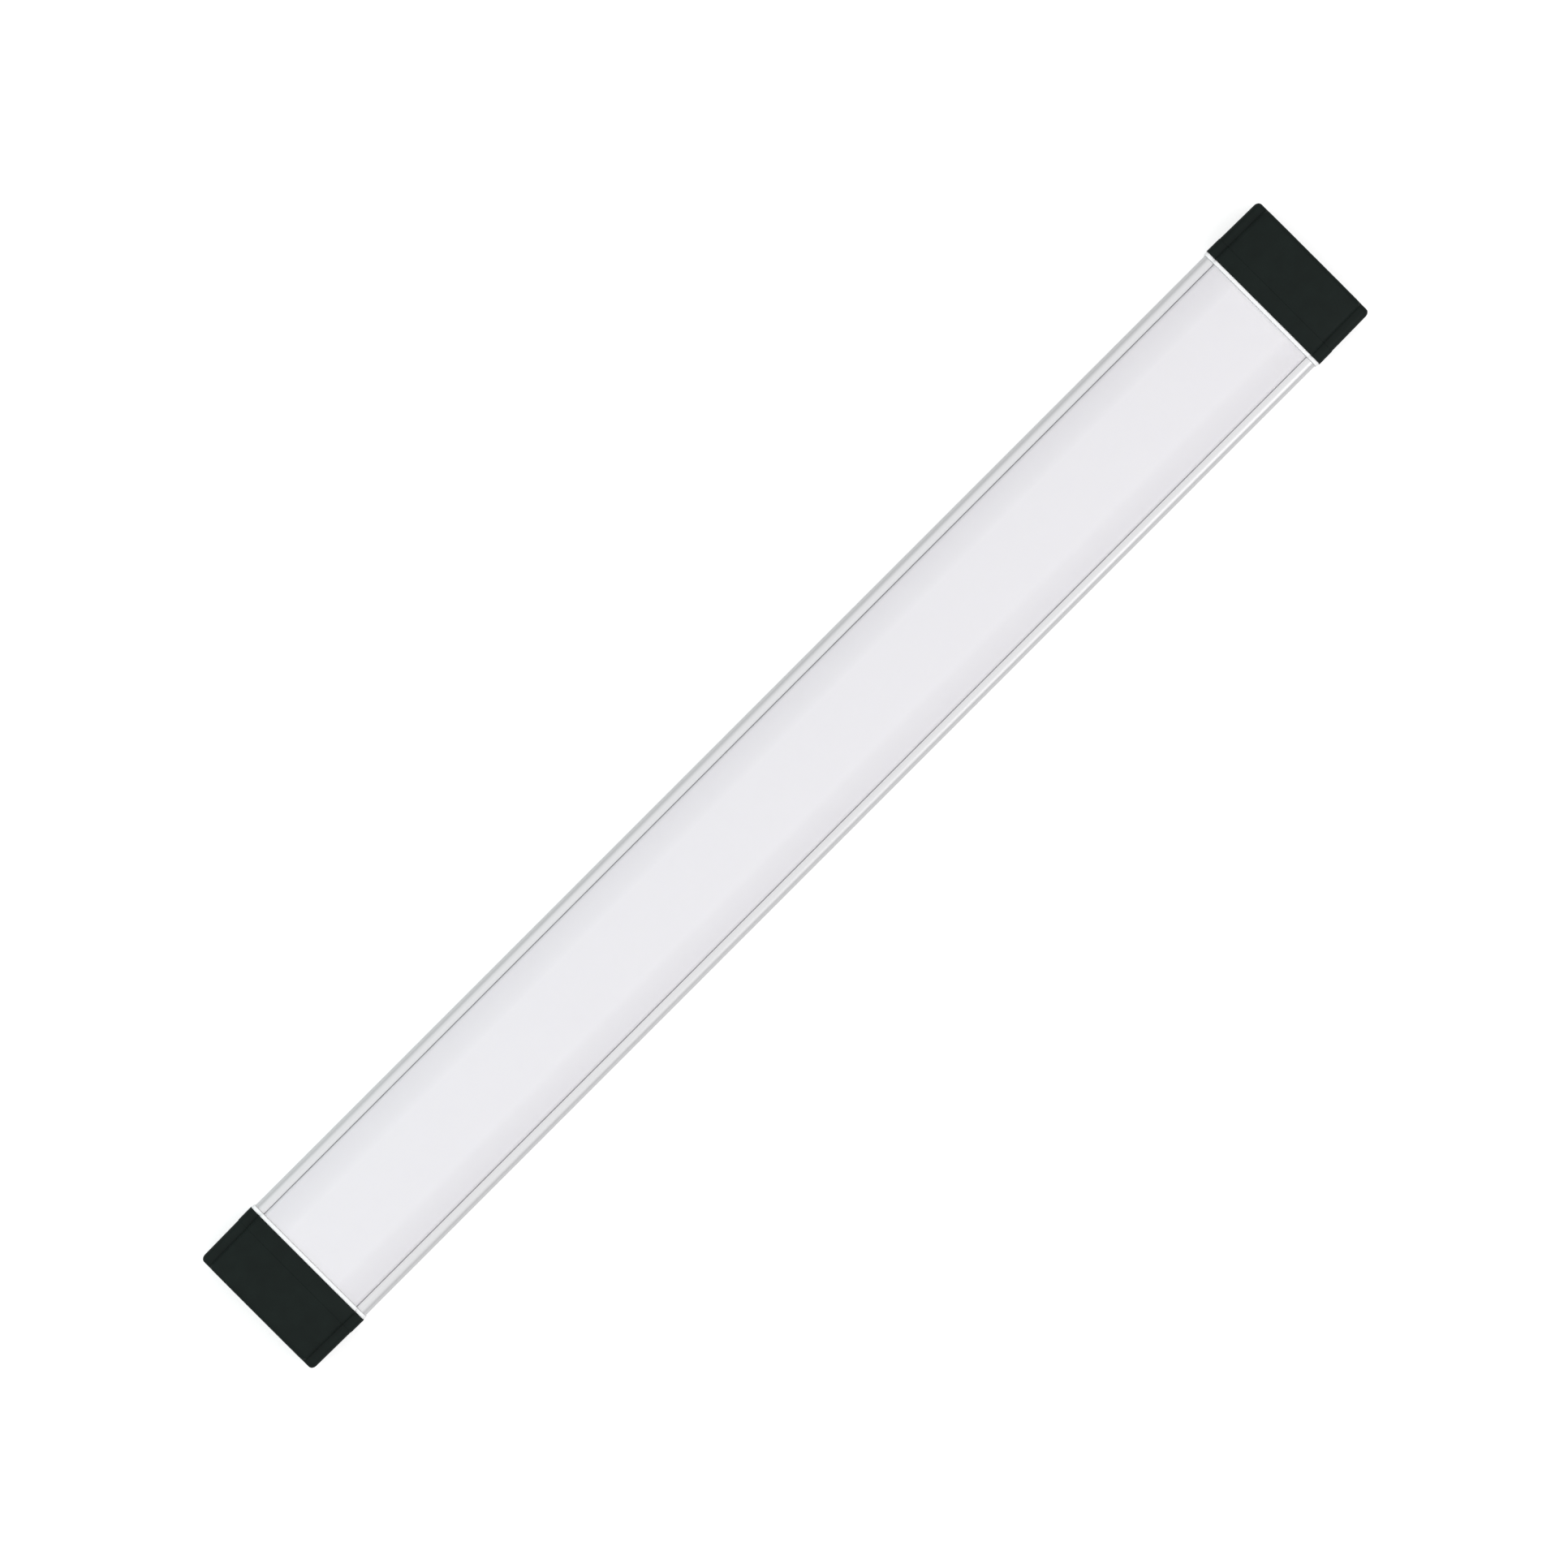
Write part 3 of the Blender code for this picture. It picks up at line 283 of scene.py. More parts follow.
def cap_outline():
    half_width = HALF_WIDTH + CAP_PROUD
    lip_top = LIP_TOP + CAP_PROUD
    half = arc(half_width - CAP_CORNER_R, CAP_CORNER_R, CAP_CORNER_R, CAP_CORNER_R, -90, 0, 16)
    half += arc(half_width - CAP_LIP_ROUND, lip_top - CAP_LIP_ROUND, CAP_LIP_ROUND, CAP_LIP_ROUND, 0, 90, 12)
    half += [(CAP_DOME_HALF, lip_top)]
    half += dome_outline(CAP_DOME_HALF, CAP_SHOULDER_R, CROWN_HALF + GAP, CROWN_TOP + CAP_PROUD, 14, 10)
    return mirrored(half)


# ---------------------------------------------------------------- mesh builders

def finish_mesh(name, builder, look, sharp=30.0):
    """An object from a bmesh in millimetres, shaded smooth but for edges over an angle."""
    bmesh.ops.recalc_face_normals(builder, faces=builder.faces)
    bmesh.ops.scale(builder, verts=builder.verts, vec=(MM, MM, MM))
    mesh = bpy.data.meshes.new(name)
    builder.to_mesh(mesh)
    builder.free()
    mesh.materials.append(look)
    mesh.shade_smooth()
    mesh.set_sharp_from_angle(angle=math.radians(sharp))
    made = bpy.data.objects.new(name, mesh)
    bpy.context.scene.collection.objects.link(made)
    return made


def loft(name, rings, look, closed=False, sharp=30.0):
    """Skins rings of points with the same count. The ends are filled, or joined to each other."""
    builder = bmesh.new()
    rows = [[builder.verts.new(point) for point in ring] for ring in rings]
    pairs = list(zip(rows, rows[1:]))
    if closed:
        pairs.append((rows[-1], rows[0]))
    else:
        builder.faces.new(rows[0])
        builder.faces.new(rows[-1])
    for low, high in pairs:
        for i in range(len(low)):
            builder.faces.new((low[i - 1], low[i], high[i], high[i - 1]))
    return finish_mesh(name, builder, look, sharp)


def loft_x(name, sections, look, closed=False, sharp=30.0):
    rings = [[(x, y, z) for y, z in outline] for x, outline in sections]
    return loft(name, rings, look, closed, sharp)


def turned(name, profile, look, axis, centre, steps=48, closed=False, waviness=None, sharp=30.0):
    """A profile of (radius, height) pairs turned about an axis through a centre.

    waviness(turn, height, radius) adds to a radius, for knurls and threads.
    """
    builder = bmesh.new()
    order = AXIS_ORDER[axis]
    rows = []
    for radius, height in profile:
        row = []
        for i in range(steps if radius > 0 else 1):
            turn = 2 * math.pi * i / steps
            here = radius + (waviness(turn, height, radius) if waviness and radius > 0 else 0.0)
            local = (here * math.cos(turn), here * math.sin(turn), height)
            row.append(builder.verts.new([local[k] + c for k, c in zip(order, centre)]))
        rows.append(row)
    pairs = list(zip(rows, rows[1:]))
    if closed:
        pairs.append((rows[-1], rows[0]))
    for low, high in pairs:
        for i in range(steps):
            corners = [low[i - 1 if len(low) > 1 else 0], low[i % len(low)],
                       high[i % len(high)], high[i - 1 if len(high) > 1 else 0]]
            builder.faces.new(list(dict.fromkeys(corners)))
    if not closed:
        for row in (rows[0], rows[-1]):
            if len(row) > 1:
                builder.faces.new(row)
    return finish_mesh(name, builder, look, sharp)


def block(name, low, high, look, bevel=0.0):
    builder = bmesh.new()
    bmesh.ops.create_cube(builder, size=1.0)
    size = [abs(b - a) for a, b in zip(low, high)]
    middle = (Vector(high) + Vector(low)) / 2
    bmesh.ops.scale(builder, verts=builder.verts, vec=size)
    bmesh.ops.translate(builder, verts=builder.verts, vec=middle)
    if bevel:
        bmesh.ops.bevel(builder, geom=builder.edges[:], offset=bevel, segments=3, profile=0.5,
                        affect="EDGES")
    return finish_mesh(name, builder, look)


def boolean(target, tools, operation):
    """Applies one Boolean for each tool in turn, and removes the tools."""
    for tool in tools:
        modifier = target.modifiers.new("shape", "BOOLEAN")
        modifier.operation = operation
        modifier.solver = "EXACT"
        modifier.object = tool
        bake_modifiers(target)
        bpy.data.objects.remove(tool)


def bake_modifiers(target):
    depsgraph = bpy.context.evaluated_depsgraph_get()
    mesh = bpy.data.meshes.new_from_object(target.evaluated_get(depsgraph), depsgraph=depsgraph)
    mesh.name = target.data.name
    target.modifiers.clear()
    target.data = mesh


def put(piece, body, slot, *nodes):
    """The piece moves with a body and stands for CAD nodes; the slot is not used."""
    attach(piece, body)
    if nodes:
        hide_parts(*nodes)


# ---------------------------------------------------------------- materials

class Look:
    """A Principled material with helpers for its procedural detail, all in object space."""

    def __init__(self, name, colour, roughness, metallic=0.0, specular=0.5):
        self.material = bpy.data.materials.new(name)
        self.material.use_nodes = True
        self.nodes = self.material.node_tree.nodes
        self.links = self.material.node_tree.links
        self.shader = self.nodes["Principled BSDF"]
        self.colour = colour
        self.shader.inputs["Base Color"].default_value = (*colour, 1.0)
        self.shader.inputs["Roughness"].default_value = roughness
        self.shader.inputs["Metallic"].default_value = metallic
        self.shader.inputs["Specular IOR Level"].default_value = specular
        self.coordinates = self.nodes.new("ShaderNodeTexCoord").outputs["Object"]

    def noise(self, size, stretch=(1.0, 1.0, 1.0), detail=4.0):
        """Noise whose features measure about the given size in millimetres, drawn out along an axis."""
        mapping = self.nodes.new("ShaderNodeMapping")
        mapping.inputs["Scale"].default_value = [1.0 / (size * MM * s) for s in stretch]
        self.links.new(self.coordinates, mapping.inputs["Vector"])
        texture = self.nodes.new("ShaderNodeTexNoise")
        texture.inputs["Scale"].default_value = 1.0
        texture.inputs["Detail"].default_value = detail
        self.links.new(mapping.outputs["Vector"], texture.inputs["Vector"])
        return texture.outputs["Fac"]

    def range(self, value, low, high, start=0.25, end=0.75):
        node = self.nodes.new("ShaderNodeMapRange")
        node.inputs["From Min"].default_value = start
        node.inputs["From Max"].default_value = end
        node.inputs["To Min"].default_value = low
        node.inputs["To Max"].default_value = high
        self.links.new(value, node.inputs["Value"])
        return node.outputs["Result"]

    def mix(self, factor, first, second):
        """A colour between two, each a colour or another node's output."""
        node = self.nodes.new("ShaderNodeMix")
        node.data_type = "RGBA"
        self.links.new(factor, node.inputs["Factor"])
        for name, value in (("A", first), ("B", second)):
            socket = [s for s in node.inputs if s.name == name and s.type == "RGBA"][0]
            if isinstance(value, tuple):
                socket.default_value = (*value, 1.0)
            else:
                self.links.new(value, socket)
        return [s for s in node.outputs if s.type == "RGBA"][0]

    def mottle(self, amount, size, stretch=(1.0, 1.0, 1.0)):
        """Colour that varies a little round the base colour."""
        dark = tuple(c * (1 - amount) for c in self.colour)
        light = tuple(min(1.0, c * (1 + amount)) for c in self.colour)
        factor = self.range(self.noise(size, stretch), 0.0, 1.0)
        self.paint(self.mix(factor, dark, light))

    def paint(self, output):
        self.links.new(output, self.shader.inputs["Base Color"])

    def polish(self, low, high, size, stretch=(1.0, 1.0, 1.0)):
        """Roughness that varies between two values."""
        result = self.range(self.noise(size, stretch), low, high)
        self.links.new(result, self.shader.inputs["Roughness"])

    def relief(self, depth, size, stretch=(1.0, 1.0, 1.0), detail=3.0):
        """A bump of the given depth in millimetres."""
        bump = self.nodes.new("ShaderNodeBump")
        bump.inputs["Distance"].default_value = depth * MM
        self.links.new(self.noise(size, stretch, detail), bump.inputs["Height"])
        previous = self.shader.inputs["Normal"]
        if previous.is_linked:
            self.links.new(previous.links[0].from_socket, bump.inputs["Normal"])
        self.links.new(bump.outputs["Normal"], previous)

    def axis(self, name):
        split = self.nodes.new("ShaderNodeSeparateXYZ")
        self.links.new(self.coordinates, split.inputs["Vector"])
        return split.outputs[name]

    def math(self, operation, first, second):
        node = self.nodes.new("ShaderNodeMath")
        node.operation = operation
        for socket, value in zip(node.inputs, (first, second)):
            if isinstance(value, (int, float)):
                socket.default_value = value
            else:
                self.links.new(value, socket)
        return node.outputs["Value"]


def anodised_look():
    """Satin light anodising over an extrusion: fine die lines along X and a soft grain."""
    look = Look("light_anodised_aluminium", (0.70, 0.70, 0.71), 0.42, metallic=0.5)
    along = (160.0, 1.0, 1.0)
    look.mottle(0.025, 0.5, along)
    look.polish(0.30, 0.42, 0.35, along)
    look.relief(0.004, 0.3, along)
    look.relief(0.003, 0.12)
    return look.material


def opal_look():
    """Opal polycarbonate: soft depth under a satin skin, with a painted shade that greys it from the crown's
    edge out to its sides, where the channel stands behind it.
    """
    clear = (0.84, 0.825, 0.86)
    look = Look("opal_polycarbonate", clear, 0.42, specular=0.3)
    # Painted shade: the base colour darkens by up to 8% from the crown's edge out across the flanks.
    across = look.math("ABSOLUTE", look.axis("Y"), 0.0)
    crown_edge_painted_shade = look.range(across, 0.0, 0.42, 0.0140, 0.0168)
    flank = look.range(across, 0.0, 0.58, 0.0168, 0.0240)
    faint = look.range(look.noise(30.0, (4.0, 1.0, 1.0)), -0.06, 0.06)
    shade = look.math("ADD", look.math("ADD", crown_edge_painted_shade, flank), faint)
    look.paint(look.mix(shade, clear, tuple(c * 0.92 for c in clear)))
    look.polish(0.38, 0.46, 0.8, (90.0, 1.0, 1.0))
    look.relief(0.0015, 0.6, (120.0, 1.0, 1.0))
    look.shader.inputs["Subsurface Weight"].default_value = 0.6
    look.shader.inputs["Subsurface Radius"].default_value = (1.0, 1.0, 1.05)
    look.shader.inputs["Subsurface Scale"].default_value = 0.0025
    return look.material


def charcoal_look():
    """Moulded charcoal ABS with a fine spark-eroded texture."""
    look = Look("charcoal_abs", (0.0055, 0.0100, 0.0085), 0.52, specular=0.12)
    look.mottle(0.16, 6.0)
    look.polish(0.44, 0.60, 0.35)
    look.relief(0.010, 0.22, detail=2.0)
    look.relief(0.012, 0.7, detail=1.0)
    return look.material


def silicone_look():
    look = Look("pale_silicone", (0.95, 0.96, 0.97), 0.55, specular=0.4)
    look.mottle(0.02, 1.2)
    look.relief(0.004, 0.3)
    look.shader.inputs["Subsurface Weight"].default_value = 0.3
    look.shader.inputs["Subsurface Radius"].default_value = (1.0, 1.0, 1.0)
    look.shader.inputs["Subsurface Scale"].default_value = 0.0008
    return look.material


def steel_look():
    look = Look("black_oxide_steel", (0.055, 0.055, 0.06), 0.36, metallic=0.9)
    look.mottle(0.2, 0.6)
    look.polish(0.26, 0.46, 0.25)
    look.relief(0.003, 0.15)
    return look.material


def brass_look():
    look = Look("turned_brass", (0.78, 0.57, 0.25), 0.28, metallic=1.0)
    look.mottle(0.06, 0.9)
    look.polish(0.2, 0.36, 0.3)
    look.relief(0.003, 0.2)
    return look.material


def nickel_look():
    look = Look("nickel_plate", (0.66, 0.65, 0.61), 0.22, metallic=1.0)
    look.mottle(0.04, 1.5)
    look.polish(0.16, 0.3, 0.5)
    look.relief(0.002, 0.3)
    return look.material


def rubber_look():
    """Matt moulded rubber, slightly greyer than the caps."""
    look = Look("grey_rubber", (0.034, 0.036, 0.038), 0.72, specular=0.3)
    look.mottle(0.12, 1.6)
    look.polish(0.64, 0.8, 0.4)
    look.relief(0.006, 0.16)
    return look.material


def smoked_look():
    look = Look("smoked_acrylic", (0.012, 0.012, 0.014), 0.06, specular=0.5)
    look.mottle(0.1, 8.0)
    look.polish(0.04, 0.09, 3.0)
    look.shader.inputs["Alpha"].default_value = 0.82
    return look.material


def frosted_look():
    look = Look("frosted_acrylic", (0.82, 0.85, 0.86), 0.4)
    look.mottle(0.03, 0.5)
    look.polish(0.34, 0.48, 0.3)
    look.relief(0.004, 0.15)
    return look.material


def print_look():
    look = Look("pad_print_white", (0.72, 0.73, 0.74), 0.55)
    look.mottle(0.03, 0.3)
    look.relief(0.004, 0.1)
    return look.material


def plastic_look(name, colour, roughness):
    look = Look(name, colour, roughness, specular=0.4)
    look.mottle(0.06, 3.0)
    look.polish(roughness - 0.07, roughness + 0.07, 0.5)
    look.relief(0.006, 0.3)
    return look.material


def sleeve_look():
    """Shrink sleeve on a cell."""
    look = Look("cell_sleeve", (0.035, 0.17, 0.36), 0.3)
    look.mottle(0.07, 2.5, (8.0, 1.0, 1.0))
    look.polish(0.22, 0.38, 1.2)
    look.relief(0.02, 1.6, (6.0, 1.0, 1.0))
    return look.material


def board_look(name, mask, trace, pitch):
    """Solder mask over copper: narrow raised traces that show a shade lighter."""
    look = Look(name, mask, 0.4)
    mapping = look.nodes.new("ShaderNodeMapping")
    mapping.inputs["Scale"].default_value = [1.0 / (pitch * MM)] * 3
    look.links.new(look.coordinates, mapping.inputs["Vector"])
    cells = look.nodes.new("ShaderNodeTexVoronoi")
    cells.feature = "DISTANCE_TO_EDGE"
    cells.inputs["Scale"].default_value = 1.0
    look.links.new(mapping.outputs["Vector"], cells.inputs["Vector"])
    line = look.range(cells.outputs["Distance"], 1.0, 0.0, 0.03, 0.06)
    look.paint(look.mix(line, mask, trace))
    look.polish(0.32, 0.48, 1.4)
    bump = look.nodes.new("ShaderNodeBump")
    bump.inputs["Distance"].default_value = 0.03 * MM
    look.links.new(line, bump.inputs["Height"])
    look.links.new(bump.outputs["Normal"], look.shader.inputs["Normal"])
    return look.material


def light_board_look():
    """White mask on the light boards, with amber phosphor on the chips that stand above it."""
    mask = (0.83, 0.83, 0.81)
    look = Look("light_board", mask, 0.45)
    chip_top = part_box("led_board_left")[1][2]
    above = look.range(look.axis("Z"), 0.0, 1.0, chip_top - 0.0006, chip_top - 0.0005)
    speckle = look.mix(look.range(look.noise(0.15), 0.0, 1.0), (0.80, 0.58, 0.10), (0.90, 0.70, 0.20))
    look.paint(look.mix(above, mask, speckle))
    look.polish(0.38, 0.52, 0.6)
    look.relief(0.01, 0.4)
    return look.material


def lead_look(name, colour):
    look = Look(name, colour, 0.45)
    look.mottle(0.08, 2.0)
    look.polish(0.38, 0.52, 1.0)
    look.relief(0.03, 0.9, detail=1.0)
    return look.material


LOOKS = {
    "anodised": anodised_look(),
    "opal": opal_look(),
    "charcoal": charcoal_look(),
    "silicone": silicone_look(),
    "black_steel": steel_look(),
    "white_board": light_board_look(),
    "green_board": board_look("green_board", (0.012, 0.10, 0.045), (0.03, 0.19, 0.08), 2.2),
    "white_plastic": plastic_look("white_plastic", (0.78, 0.78, 0.76), 0.45),
    "black_plastic": plastic_look("black_plastic", (0.018, 0.018, 0.019), 0.45),
    "cell_sleeve": sleeve_look(),
    "brass": brass_look(),
    "smoked": smoked_look(),
    "frosted": frosted_look(),
    "rubber": rubber_look(),
    "nickel": nickel_look(),
    "red_lead": lead_look("red_lead", (0.42, 0.025, 0.018)),
    "ferrite": plastic_look("ferrite", (0.085, 0.085, 0.09), 0.6),
}
PRINT = print_look()
SLOT_OF = {entry["node"]: entry["material_slot"] for entry in frame["record"]["subparts"]}
BODY_OF = {node: body for body, nodes in frame["record"]["behaviour"]["bodies"].items() for node in nodes}


def dress_frame():
    """Each CAD node that stays visible takes the detailed material of its slot."""
    for node, made in NODES.items():
        look = LOOKS[SLOT_OF[node]]
        if not made.material_slots:
            made.data.materials.append(look)
        for entry in made.material_slots:
            entry.link = "OBJECT"
            entry.material = look


# ---------------------------------------------------------------- channel, diffuser and seals

def end_broken(outline, x, edge):
    """Sections of an extrusion whose ends are deburred by a small chamfer."""
    return [(-x, inset(outline, edge)), (-x + edge, outline), (x - edge, outline), (x, inset(outline, edge))]


def make_channel():
    shell = loft_x("channel_shell", end_broken(channel_outline(), TUBE_END_X, 0.12), LOOKS["anodised"])
    shelf_half_y = SLOT_Y + 0.3
    shelf = block("light_shelf", (-SHELF_HALF_X, -shelf_half_y, SHELF_BOTTOM),
                  (SHELF_HALF_X, shelf_half_y, SHELF_TOP), LOOKS["anodised"])
    boolean(shell, [shelf], "UNION")
    tools = []
    holes = {"rear_mount_insert": REAR_HOLE_R, "magnet_cup_left": CUP_HOLE_R, "magnet_cup_right": CUP_HOLE_R}
    for node, radius in holes.items():
        centre = centre_mm(node)
        profile = [(radius, BACK - 1), (radius, BACK + BACK_WALL + 1)]
        tools.append(turned("cutter", profile, LOOKS["anodised"], "Z", (centre.x, centre.y, 0), steps=72))
    boolean(shell, tools, "DIFFERENCE")
    shell.data.set_sharp_from_angle(angle=math.radians(30))
    put(shell, BODY_OF["rear_housing"], "anodised", "rear_housing")


def make_diffuser():
    sections = end_broken(diffuser_outline(), TUBE_END_X, 0.15)
    lens = loft_x("diffuser_lens", sections, LOOKS["opal"])
    put(lens, BODY_OF["front_diffuser"], "opal", "front_diffuser")


def make_gasket(label, side):
    """A silicone ring with a softly rounded rim, squeezed between the tube and its cap."""
    node = f"end_gasket_{label}"
    near, far = side * (TUBE_END_X + 0.06), side * (CAP_INNER_X - 0.06)
    outline = cap_outline()
    middle = (near + far) / 2
    half = abs(far - near) / 2
    sections = []
    for i in range(9):
        turn = math.radians(-90 + 22.5 * i)
        x = middle + side * half * math.sin(turn)
        sections.append((x, inset(outline, GASKET_INSET + GASKET_RIM * (1 - math.cos(turn)))))
    opening = inset(outline, GASKET_INSET + GASKET_WIDTH)
    sections += [(far, opening), (near, opening)]
    ring = loft_x(f"gasket_{label}", sections, LOOKS["silicone"], closed=True, sharp=50.0)
    put(ring, BODY_OF[node], "silicone", node)


# ---------------------------------------------------------------- end caps

def drafted(outline, x, step=0.0):
    taper = 1 - CAP_DRAFT * (x - CAP_INNER_X) / CAP_LENGTH - step
    return [(y * taper, z * taper) for y, z in outline]


def cap_shell(name, side):
    """A hollow cap with a collar beside the tube, a faint step after it and a rounded outer end."""
    outline = cap_outline()
    cavity = inset(outline, CAP_WALL)
    rim = 0.25
    sections = [(CAP_FLOOR_X, drafted(cavity, CAP_FLOOR_X)), (CAP_INNER_X, cavity),
                (CAP_INNER_X, inset(outline, rim)), (CAP_INNER_X + rim * 0.3, inset(outline, rim * 0.3)),
                (CAP_INNER_X + rim, outline)]
    collar_x = CAP_INNER_X + CAP_COLLAR
    sections.append((collar_x, drafted(outline, collar_x)))
    sections.append((collar_x + 0.12, drafted(outline, collar_x, CAP_COLLAR_STEP)))
    base = drafted(outline, END_X - CAP_EDGE_LENGTH, CAP_COLLAR_STEP)
    for i in range(CAP_EDGE_STEPS + 1):
        turn = math.radians(90 * i / CAP_EDGE_STEPS)
        x = END_X - CAP_EDGE_LENGTH * (1 - math.sin(turn))
        sections.append((x, inset(base, CAP_EDGE_INSET * (1 - math.cos(turn)))))
    return loft_x(name, [(side * x, section) for x, section in sections], LOOKS["charcoal"], sharp=35.0)


def screw_bosses(side):
    near = side * CAP_INNER_X
    far = side * (CAP_FLOOR_X + 1)
    reach = HALF_WIDTH + CAP_PROUD - CAP_WALL / 2 - PORT_Y
    tools = []
    for y, z in SCREW_PLACES:
        boss = [(CAP_BOSS_R, near), (CAP_BOSS_R, far)]
        tools.append(turned("boss", boss, LOOKS["charcoal"], "X", (0, y, z), steps=32))
        rib_end = y + math.copysign(reach, y)
        tools.append(block("rib", (near, y, z - 1.5), (far, rib_end, z + 1.5), LOOKS["charcoal"]))
    return tools


def screw_holes(side):
    seat = END_X - COUNTERBORE_DEPTH
    chamfer = 0.25
    profile = [(SHANK_HOLE_R, CAP_INNER_X - 1), (SHANK_HOLE_R, seat), (COUNTERBORE_R, seat),
               (COUNTERBORE_R, END_X - chamfer), (COUNTERBORE_R + chamfer, END_X),
               (COUNTERBORE_R + chamfer, END_X + 1)]
    profile = [(radius, side * x) for radius, x in profile]
    return [turned("hole", profile, LOOKS["charcoal"], "X", (0, y, z), steps=40) for y, z in SCREW_PLACES]


def hole_x(radius, near, far, y, z, flare=0.0):
    """A round cutter along X, widened by a flare at its outer end."""
    profile = [(radius, near), (radius, far)]
    if flare:
        step = math.copysign(flare, far - near)
        wide = radius + flare
        profile = [(radius, near), (radius, far - step), (wide, far), (wide, far + step * 8)]
    return turned("hole", profile, LOOKS["charcoal"], "X", (0, y, z), steps=40)


def make_control_cap():
    cap = cap_shell("control_cap", 1)
    boolean(cap, screw_bosses(1), "UNION")
    tools = screw_holes(1)
    recess = moved(rounded_rectangle(PANEL_HALF_Y, PANEL_HALF_Z, 3.0), 0, PANEL_Z)
    slope = 0.35
    tools.append(loft_x("recess", [(PANEL_FLOOR_X, inset(recess, slope)), (PANEL_FLOOR_X + slope, recess),
                                   (END_X + 1, recess)], LOOKS["charcoal"]))
    low, high = box_mm("display_window")
    middle = (low + high) / 2
    half_y = (high.y - low.y) / 2 - 0.9 + GAP
    half_z = (high.z - low.z) / 2 - 0.9 + GAP
    aperture = moved(rounded_rectangle(half_y, half_z, 1.3), middle.y, middle.z)
    tools.append(loft_x("aperture", [(CAP_FLOOR_X - 1, aperture), (END_X, aperture)], LOOKS["charcoal"]))
    for name in BUTTONS:
        y, z = button_place(name)
        tools.append(hole_x(BUTTON_HOLE_R, CAP_FLOOR_X - 1, PANEL_FLOOR_X, y, z, 0.15))
    pipe = centre_mm("status_light_pipe")
    tools.append(hole_x(PIPE_HOLE_R, CAP_FLOOR_X - 1, PANEL_FLOOR_X, pipe.y, pipe.z, 0.1))
    boolean(cap, tools, "DIFFERENCE")
    cap.data.set_sharp_from_angle(angle=math.radians(32))
    put(cap, BODY_OF["end_cap_right"], "charcoal", "end_cap_right")


def make_mount_cap():
    cap = cap_shell("mount_cap", -1)
    end = -END_X
    floor = -CAP_FLOOR_X
    insert_end = box_mm("end_mount_insert")[1].x + GAP
    boss = turned("boss", [(END_BOSS_R, floor - 1), (END_BOSS_R, insert_end + 2)], LOOKS["charcoal"], "X",
                  (0, 0, PANEL_Z))
    axis_x, socket_y, axis_z = hinge_axis()
    recess_x = end + RECESS_DEPTH
    pad = block("pad", (floor - 1, socket_y - RECESS_HALF_Y - 1.6, RECESS_LOW_Z - 1.2),
                (recess_x + 2.5, socket_y + RECESS_HALF_Y + 1.6, RECESS_HIGH_Z + 1.2), LOOKS["charcoal"])
    boolean(cap, screw_bosses(-1) + [boss, pad], "UNION")
    tools = screw_holes(-1)
    tools.append(hole_x(END_HOLE_R, insert_end, end, 0, PANEL_Z, 0.3))
    tools.append(block("recess", (end - 1, socket_y - RECESS_HALF_Y, RECESS_LOW_Z),
                       (recess_x, socket_y + RECESS_HALF_Y, RECESS_HIGH_Z), LOOKS["charcoal"]))
    shell_low, shell_high = box_mm("charge_port_shell")
    centre = (shell_low + shell_high) / 2
    mouth_half = (shell_high - shell_low) / 2
    mouth = rounded_rectangle(mouth_half.y + GAP, mouth_half.z + GAP, 1.9)
    mouth = moved(mouth, centre.y, centre.z)
    tools.append(loft_x("mouth", [(end, mouth), (recess_x + 4, mouth)], LOOKS["charcoal"]))
    reach = RECESS_HALF_Y + COVER_PIN_LENGTH
    tools.append(turned("pins", [(0.65, -reach), (0.65, reach)], LOOKS["charcoal"], "Y",
                        (axis_x, socket_y, axis_z), steps=20))
    tools.append(turned("notch", [(2.6, end + 1.1), (3.0, end), (3.4, end - 1)], LOOKS["charcoal"], "X",
                        (0, socket_y, RECESS_LOW_Z + 0.4)))
    boolean(cap, tools, "DIFFERENCE")
    cap.data.set_sharp_from_angle(angle=math.radians(32))
    put(cap, BODY_OF["end_cap_left"], "charcoal", "end_cap_left")


# ---------------------------------------------------------------- screws, inserts and magnets

def make_screw(label, side, number):
    """A pan-head screw: domed rim, six-sided socket and a threaded shank."""
    node = f"cap_screw_{label}_{number}"
    low, high = box_mm(node)
    centre = (low + high) / 2
    tip, top = (low.x, high.x) if side > 0 else (high.x, low.x)
    seat = top - side * 1.9
    radius = (high.y - low.y) / 2

    def thread(turn, height, here):
        if here > SCREW_SHANK_R + 0.1 or abs(height - tip) > SCREW_THREAD_LENGTH:
            return 0.0
        phase = (side * height / SCREW_PITCH - turn / (2 * math.pi)) % 1.0
        return -SCREW_THREAD_DEPTH * abs(2 * phase - 1)

    threads = [(SCREW_SHANK_R, tip + side * SCREW_THREAD_LENGTH * i / SCREW_THREAD_STEPS)
               for i in range(SCREW_THREAD_STEPS + 1)]
    profile = [(0.5, tip)] + threads[3:] + [(SCREW_SHANK_R, seat), (radius, seat)]
    for i in range(7):
        turn = math.radians(90 * i / 6)
        profile.append((radius - 0.9 * (1 - math.cos(turn)), top - side * (0.9 - 0.9 * math.sin(turn))))
    screw = turned(f"screw_{label}_{number}", profile, LOOKS["black_steel"], "X", (0, centre.y, centre.z),
                   steps=28, waviness=thread)
    socket = turned("socket", [(0.2, top - side * 1.6), (1.25, top - side * 1.15), (1.25, top - side * 0.15),
                               (1.45, top + side * 0.05), (1.45, top + side)],
                    LOOKS["black_steel"], "X", (0, centre.y, centre.z), steps=6)
    boolean(screw, [socket], "DIFFERENCE")
    screw.data.set_sharp_from_angle(angle=math.radians(35))
    put(screw, BODY_OF[node], "black_steel", node)


